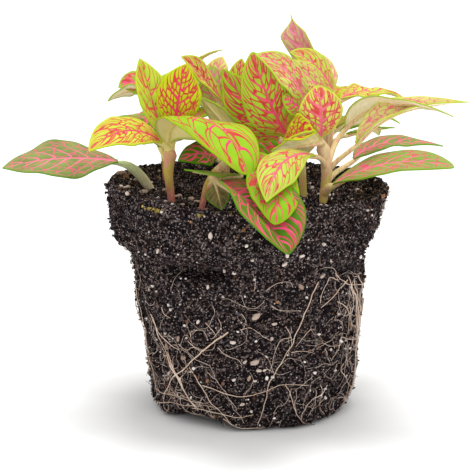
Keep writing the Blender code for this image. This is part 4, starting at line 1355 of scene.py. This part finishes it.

# %% [markdown]
# ## Roots
#
# Tan and cream roots lie on the ball where they grew along the pot's wall: a few long ones in front, a
# bundle low on the left, many upright ones at the right edge, and fine threads everywhere on the lower
# half. The long ones are listed as places round the ball, in degrees and millimetres of height.
# The threads are grown: each starts somewhere and feels its way along the ball, a little to the side
# at each step. All are tubes on the grain of the mix, dipping in and out of it.

# %% Roots laid one by one
ROOTS = [   # thickness, and the places passed in degrees round the ball and mm of height
    (0.50, [(259, 38), (248, 32), (240, 27), (232, 22), (224, 18)]),
    (0.36, [(232, 22), (224, 18), (217, 12), (210, 7)]),
    (0.48, [(221, 26), (223, 22), (226, 19), (230, 15), (234, 11), (237, 5)]),
    (0.36, [(222, 27), (225, 21), (229, 17), (233, 12), (238, 6)]),
    (0.32, [(236, 23), (240, 19), (243, 16), (247, 12), (253, 7), (259, 2)]),
    (0.36, [(304, 55), (301, 50), (297, 43), (293, 37), (290, 32), (285, 25), (280, 20), (278, 15),
            (276, 8), (273, 3)]),
    (0.28, [(243, 17), (251, 16), (257, 15), (265, 14), (273, 15), (281, 17), (287, 18), (301, 17)]),
    (0.26, [(288, 18), (291, 15), (293, 10), (297, 5), (301, 2)]),
    (0.24, [(316, 15), (310, 12), (304, 11), (299, 7), (298, 4)]),
    (0.22, [(288, 40), (290, 36), (291, 32)]),
    (0.22, [(301, 38), (297, 35), (293, 32)]),
    (0.20, [(290, 36), (285, 35), (282, 30), (281, 26)]),
    (0.20, [(291, 30), (297, 30), (303, 29)]),
    (0.18, [(278, 54), (283, 56), (289, 56), (291, 54)]),
    (0.20, [(280, 48), (285, 46), (296, 45)]),
    (0.20, [(265, 39), (270, 40), (274, 38), (280, 35)]),
    (0.18, [(266, 45), (268, 42), (266, 39)]),
    (0.22, [(253, 32), (258, 29), (263, 28), (266, 26)]),
    (0.20, [(255, 43), (256, 40), (252, 36), (250, 35)]),
    (0.20, [(248, 41), (252, 38), (253, 36)]),
    (0.18, [(239, 35), (240, 37), (246, 38), (248, 35)]),
    (0.20, [(237, 33), (242, 31), (246, 30)]),
    (0.24, [(223, 44), (225, 42), (229, 41)]),
    (0.30, [(213, 38), (218, 34), (222, 32), (226, 30), (231, 29)]),
    (0.34, [(213, 40), (216, 35), (218, 31), (221, 26)]),
    (0.32, [(192, 48), (193, 38), (196, 31), (196, 24), (198, 17), (200, 10)]),
    (0.30, [(336, 53), (340, 48), (343, 40), (346, 32), (348, 24), (349, 14)]),
    (0.34, [(329, 51), (334, 45), (337, 38), (340, 31), (344, 24), (347, 16)]),
    (0.28, [(332, 52), (337, 44), (341, 36), (343, 26), (344, 16), (341, 8)]),
    (0.26, [(326, 54), (333, 47), (339, 40), (340, 33), (346, 27)]),
    (0.30, [(325, 53), (312, 47), (307, 45)]),
    (0.26, [(317, 54), (310, 56), (308, 53), (306, 47)]),
    (0.26, [(318, 46), (325, 43), (329, 38), (329, 33)]),
    (0.30, [(314, 57), (320, 54), (327, 51), (342, 49), (347, 52)]),
    (0.22, [(344, 28), (331, 30), (322, 32), (320, 28), (317, 27)]),
    (0.26, [(328, 22), (325, 20), (331, 15), (340, 10)]),
    (0.26, [(234, 6), (245, 6), (254, 6), (263, 6), (271, 7)]),
    (0.24, [(254, 4), (259, 2.5), (264, 1.5), (271, 1.5), (278, 1.5)]),
    (0.22, [(200, 10), (213, 10), (225, 11), (235, 10), (243, 10)]),
    (0.22, [(202, 5), (218, 6), (231, 7), (242, 9), (250, 9)]),
    (0.40, [(20, 52), (35, 40), (42, 26), (60, 16)]),
    (0.45, [(70, 55), (78, 38), (95, 24), (100, 10)]),
    (0.40, [(120, 48), (108, 34), (112, 18), (125, 6)]),
    (0.42, [(150, 56), (160, 40), (152, 22), (165, 8)]),
    (0.34, [(180, 40), (192, 26), (186, 12)]),
    (0.36, [(350, 42), (5, 28), (18, 14), (30, 8)]),
]
ROOT_LIFT = 1.0
ROOT_SCALE = 0.54        # a root's radius in mm for a thickness of one
ROOT_HEIGHTS = (0.9, 76)
ROOT_TAPER = 0.45


def root_run(thickness, places, chance):
    """A root's path on the ball and its tapering radii."""
    angles, heights = np.transpose(places)
    angles = np.unwrap(np.radians(angles))
    path = []
    for angle, height, _ in along_all(np.column_stack([angles, heights, heights * 0]), 8):
        sway = noise.noise(Vector((angle * 20, height / 3, thickness * 40)))
        height = float(np.clip(height, *ROOT_HEIGHTS))
        path.append(side_point(angle + 0.012 * sway, height, ROOT_LIFT + 0.2 * sway))
    taper = 1 - ROOT_TAPER * np.linspace(0, 1, len(path)) ** 1.5
    knots = np.array([chance.uniform(0.88, 1.12) for _ in path])
    return path, ROOT_SCALE * thickness * taper * knots, 0


chance = random.Random(5)
root_runs = [root_run(thickness, places, chance) for thickness, places in ROOTS]
print(len(root_runs), "roots laid by hand")

# %% Threads that feel their way
THREADS = 260
DENSE_SHARE = 0.4            # this share of the threads grows in two dense places
DENSE_LEFT = (222, 34)       # degrees round the ball and the highest start
DENSE_RIGHT = (338, 54)
DENSE_SPREAD = 13
THREAD_STEP = 1.1
THREAD_STEPS = (6, 18)
THREAD_TURN = 0.32
THREAD_RADIUS = (0.07, 0.13)
THREAD_HEIGHTS = (0.9, 60)
WALL_RADIUS = 40             # turns a step along the wall into an angle


def thread(chance):
    """A fine root that wanders over the ball. Half of them set out downwards."""
    if chance.random() < DENSE_SHARE:
        middle, highest = DENSE_LEFT if chance.random() < 0.4 else DENSE_RIGHT
        angle = math.radians(chance.gauss(middle, DENSE_SPREAD))
        height = chance.uniform(4, highest)
    else:
        angle = chance.uniform(0, 2 * math.pi)
        height = 3 + 55 * chance.random() ** 1.5
    heading = chance.uniform(0, 2 * math.pi)
    if chance.random() < 0.5:
        heading = chance.gauss(-math.pi / 2, 0.6)
    path = []
    for _ in range(chance.randint(*THREAD_STEPS)):
        lift = 0.60 + 0.5 * noise.noise(Vector((angle * 9, height / 2.5, heading)))
        path.append(side_point(angle, height, lift))
        heading += chance.gauss(0, THREAD_TURN)
        angle += THREAD_STEP * math.cos(heading) / WALL_RADIUS
        height = float(np.clip(height + THREAD_STEP * math.sin(heading), *THREAD_HEIGHTS))
    radius = chance.uniform(*THREAD_RADIUS)
    return path, np.linspace(radius, radius * 0.5, len(path)), 0


thread_runs = [thread(chance) for _ in range(THREADS)]
print(len(thread_runs), "threads, with", sum(len(run[0]) for run in thread_runs), "steps")

# %% [markdown]
# At the collar's right edge a tuft of short rootlets stands off the ball.

# %% Rootlets at the rim
ROOTLETS = 22
ROOTLET_PLACE = (352, 6)       # degrees round the ball and spread
ROOTLET_HEIGHTS = (70, 81)
ROOTLET_LENGTHS = (1.5, 3.6)
ROOTLET_RADII = np.linspace(0.13, 0.05, 6)


def bent_path(start, way, bend, length, count):
    """Points of a short path that sets out one way and bends off another."""
    steps = np.linspace(0, 1, count)[:, None]
    return start + (way * steps + bend * steps ** 2) * length


def rootlet(chance):
    """A short root that leaves the collar outwards and up."""
    angle = math.radians(chance.gauss(*ROOTLET_PLACE))
    height = chance.uniform(*ROOTLET_HEIGHTS)
    start = side_point(angle, height, 0.2)
    rise = (0, 0, chance.uniform(0.3, 2.2))
    way = unit(outward(angle) + rise + np.array([0, chance.gauss(0, 0.6), 0]))
    bend = unit(np.cross(way, outward(angle))) * chance.uniform(-0.4, 0.4)
    path = bent_path(start, way, bend, chance.uniform(*ROOTLET_LENGTHS), len(ROOTLET_RADII))
    return path, ROOTLET_RADII, 0


thread_runs += [rootlet(chance) for _ in range(ROOTLETS)]


def root_finish(name, pale, tan, brown):
    """Root skin: cream to tan, stained by the mix."""
    root = Finish(name)
    place = root.place()
    stain = root.mottle(place, 260, 3.0)
    fibre = root.mottle(place, 1600, 2.0)
    skin = root.blend((stain * 2.4 - 0.7).clamped(), pale, tan)
    skin = root.blend((fibre * 2.2 - 1.1).clamped() * 0.6, skin, brown)
    return root.finish(skin, 0.7, fibre, depth=0.00015, strength=0.5)


root_skin = root_finish("root_skin", colour(238, 218, 200), colour(208, 176, 152),
                        colour(122, 94, 78))
thread_skin = root_finish("thread_skin", colour(232, 214, 200), colour(188, 160, 142),
                          colour(104, 84, 74))
roots = on_ball(tubes("roots", root_runs, [root_skin], sides=1), "roots")
threads = on_ball(tubes("threads", thread_runs, [thread_skin], sides=0), "root_threads")
print(roots.name, len(roots.data.polygons), "faces,", threads.name, len(threads.data.polygons))

# %% [markdown]
# Peat fibres stick out of the mix as well, shorter than the roots. Most are dark and hardly paler than
# the crumbs, and some are paler bits of husk. They are what makes the outline look furry.

# %% Peat fibres
FIBRES = 1400
FIBRE_TOP_SHARE = 0.3
FIBRE_LENGTHS = (1.2, 3.4)
FIBRE_RADII = np.array([0.13, 0.12, 0.10, 0.05])
FIBRE_FOOT = 0.25        # how far out of the mix a fibre starts
FIBRE_LOWEST = 0.3
DARK_SHARE = 0.7


def fibre(chance):
    """A short stiff fibre that leaves the mix at one end."""
    middle, way = anywhere(chance, FIBRE_TOP_SHARE)
    heading = unit([chance.gauss(0, 1) for _ in range(3)])
    flat = unit(heading - way * (heading @ way) + way * chance.uniform(0.0, 0.45))
    length = chance.uniform(*FIBRE_LENGTHS)
    bend = unit(np.cross(flat, way)) * chance.uniform(-0.25, 0.25)
    path = bent_path(middle + way * FIBRE_FOOT, flat, bend, length, len(FIBRE_RADII))
    path[:, 2] = np.maximum(path[:, 2], FIBRE_LOWEST)
    thickness = chance.uniform(0.5, 1.1)
    return path, FIBRE_RADII * thickness, 0 if chance.random() < DARK_SHARE else 1


chance = random.Random(77)
fibre_finishes = [
    root_finish("peat_fibre", colour(86, 72, 68), colour(46, 37, 35), colour(18, 14, 13)),
    root_finish("husk_fibre", colour(164, 140, 122), colour(112, 92, 80), colour(60, 48, 42))]
fibre_runs = [fibre(chance) for _ in range(FIBRES)]
fibres = on_ball(tubes("fibres", fibre_runs, fibre_finishes, sides=0), "peat_fibres")
print(fibres.name, "has", len(fibres.data.polygons), "faces")
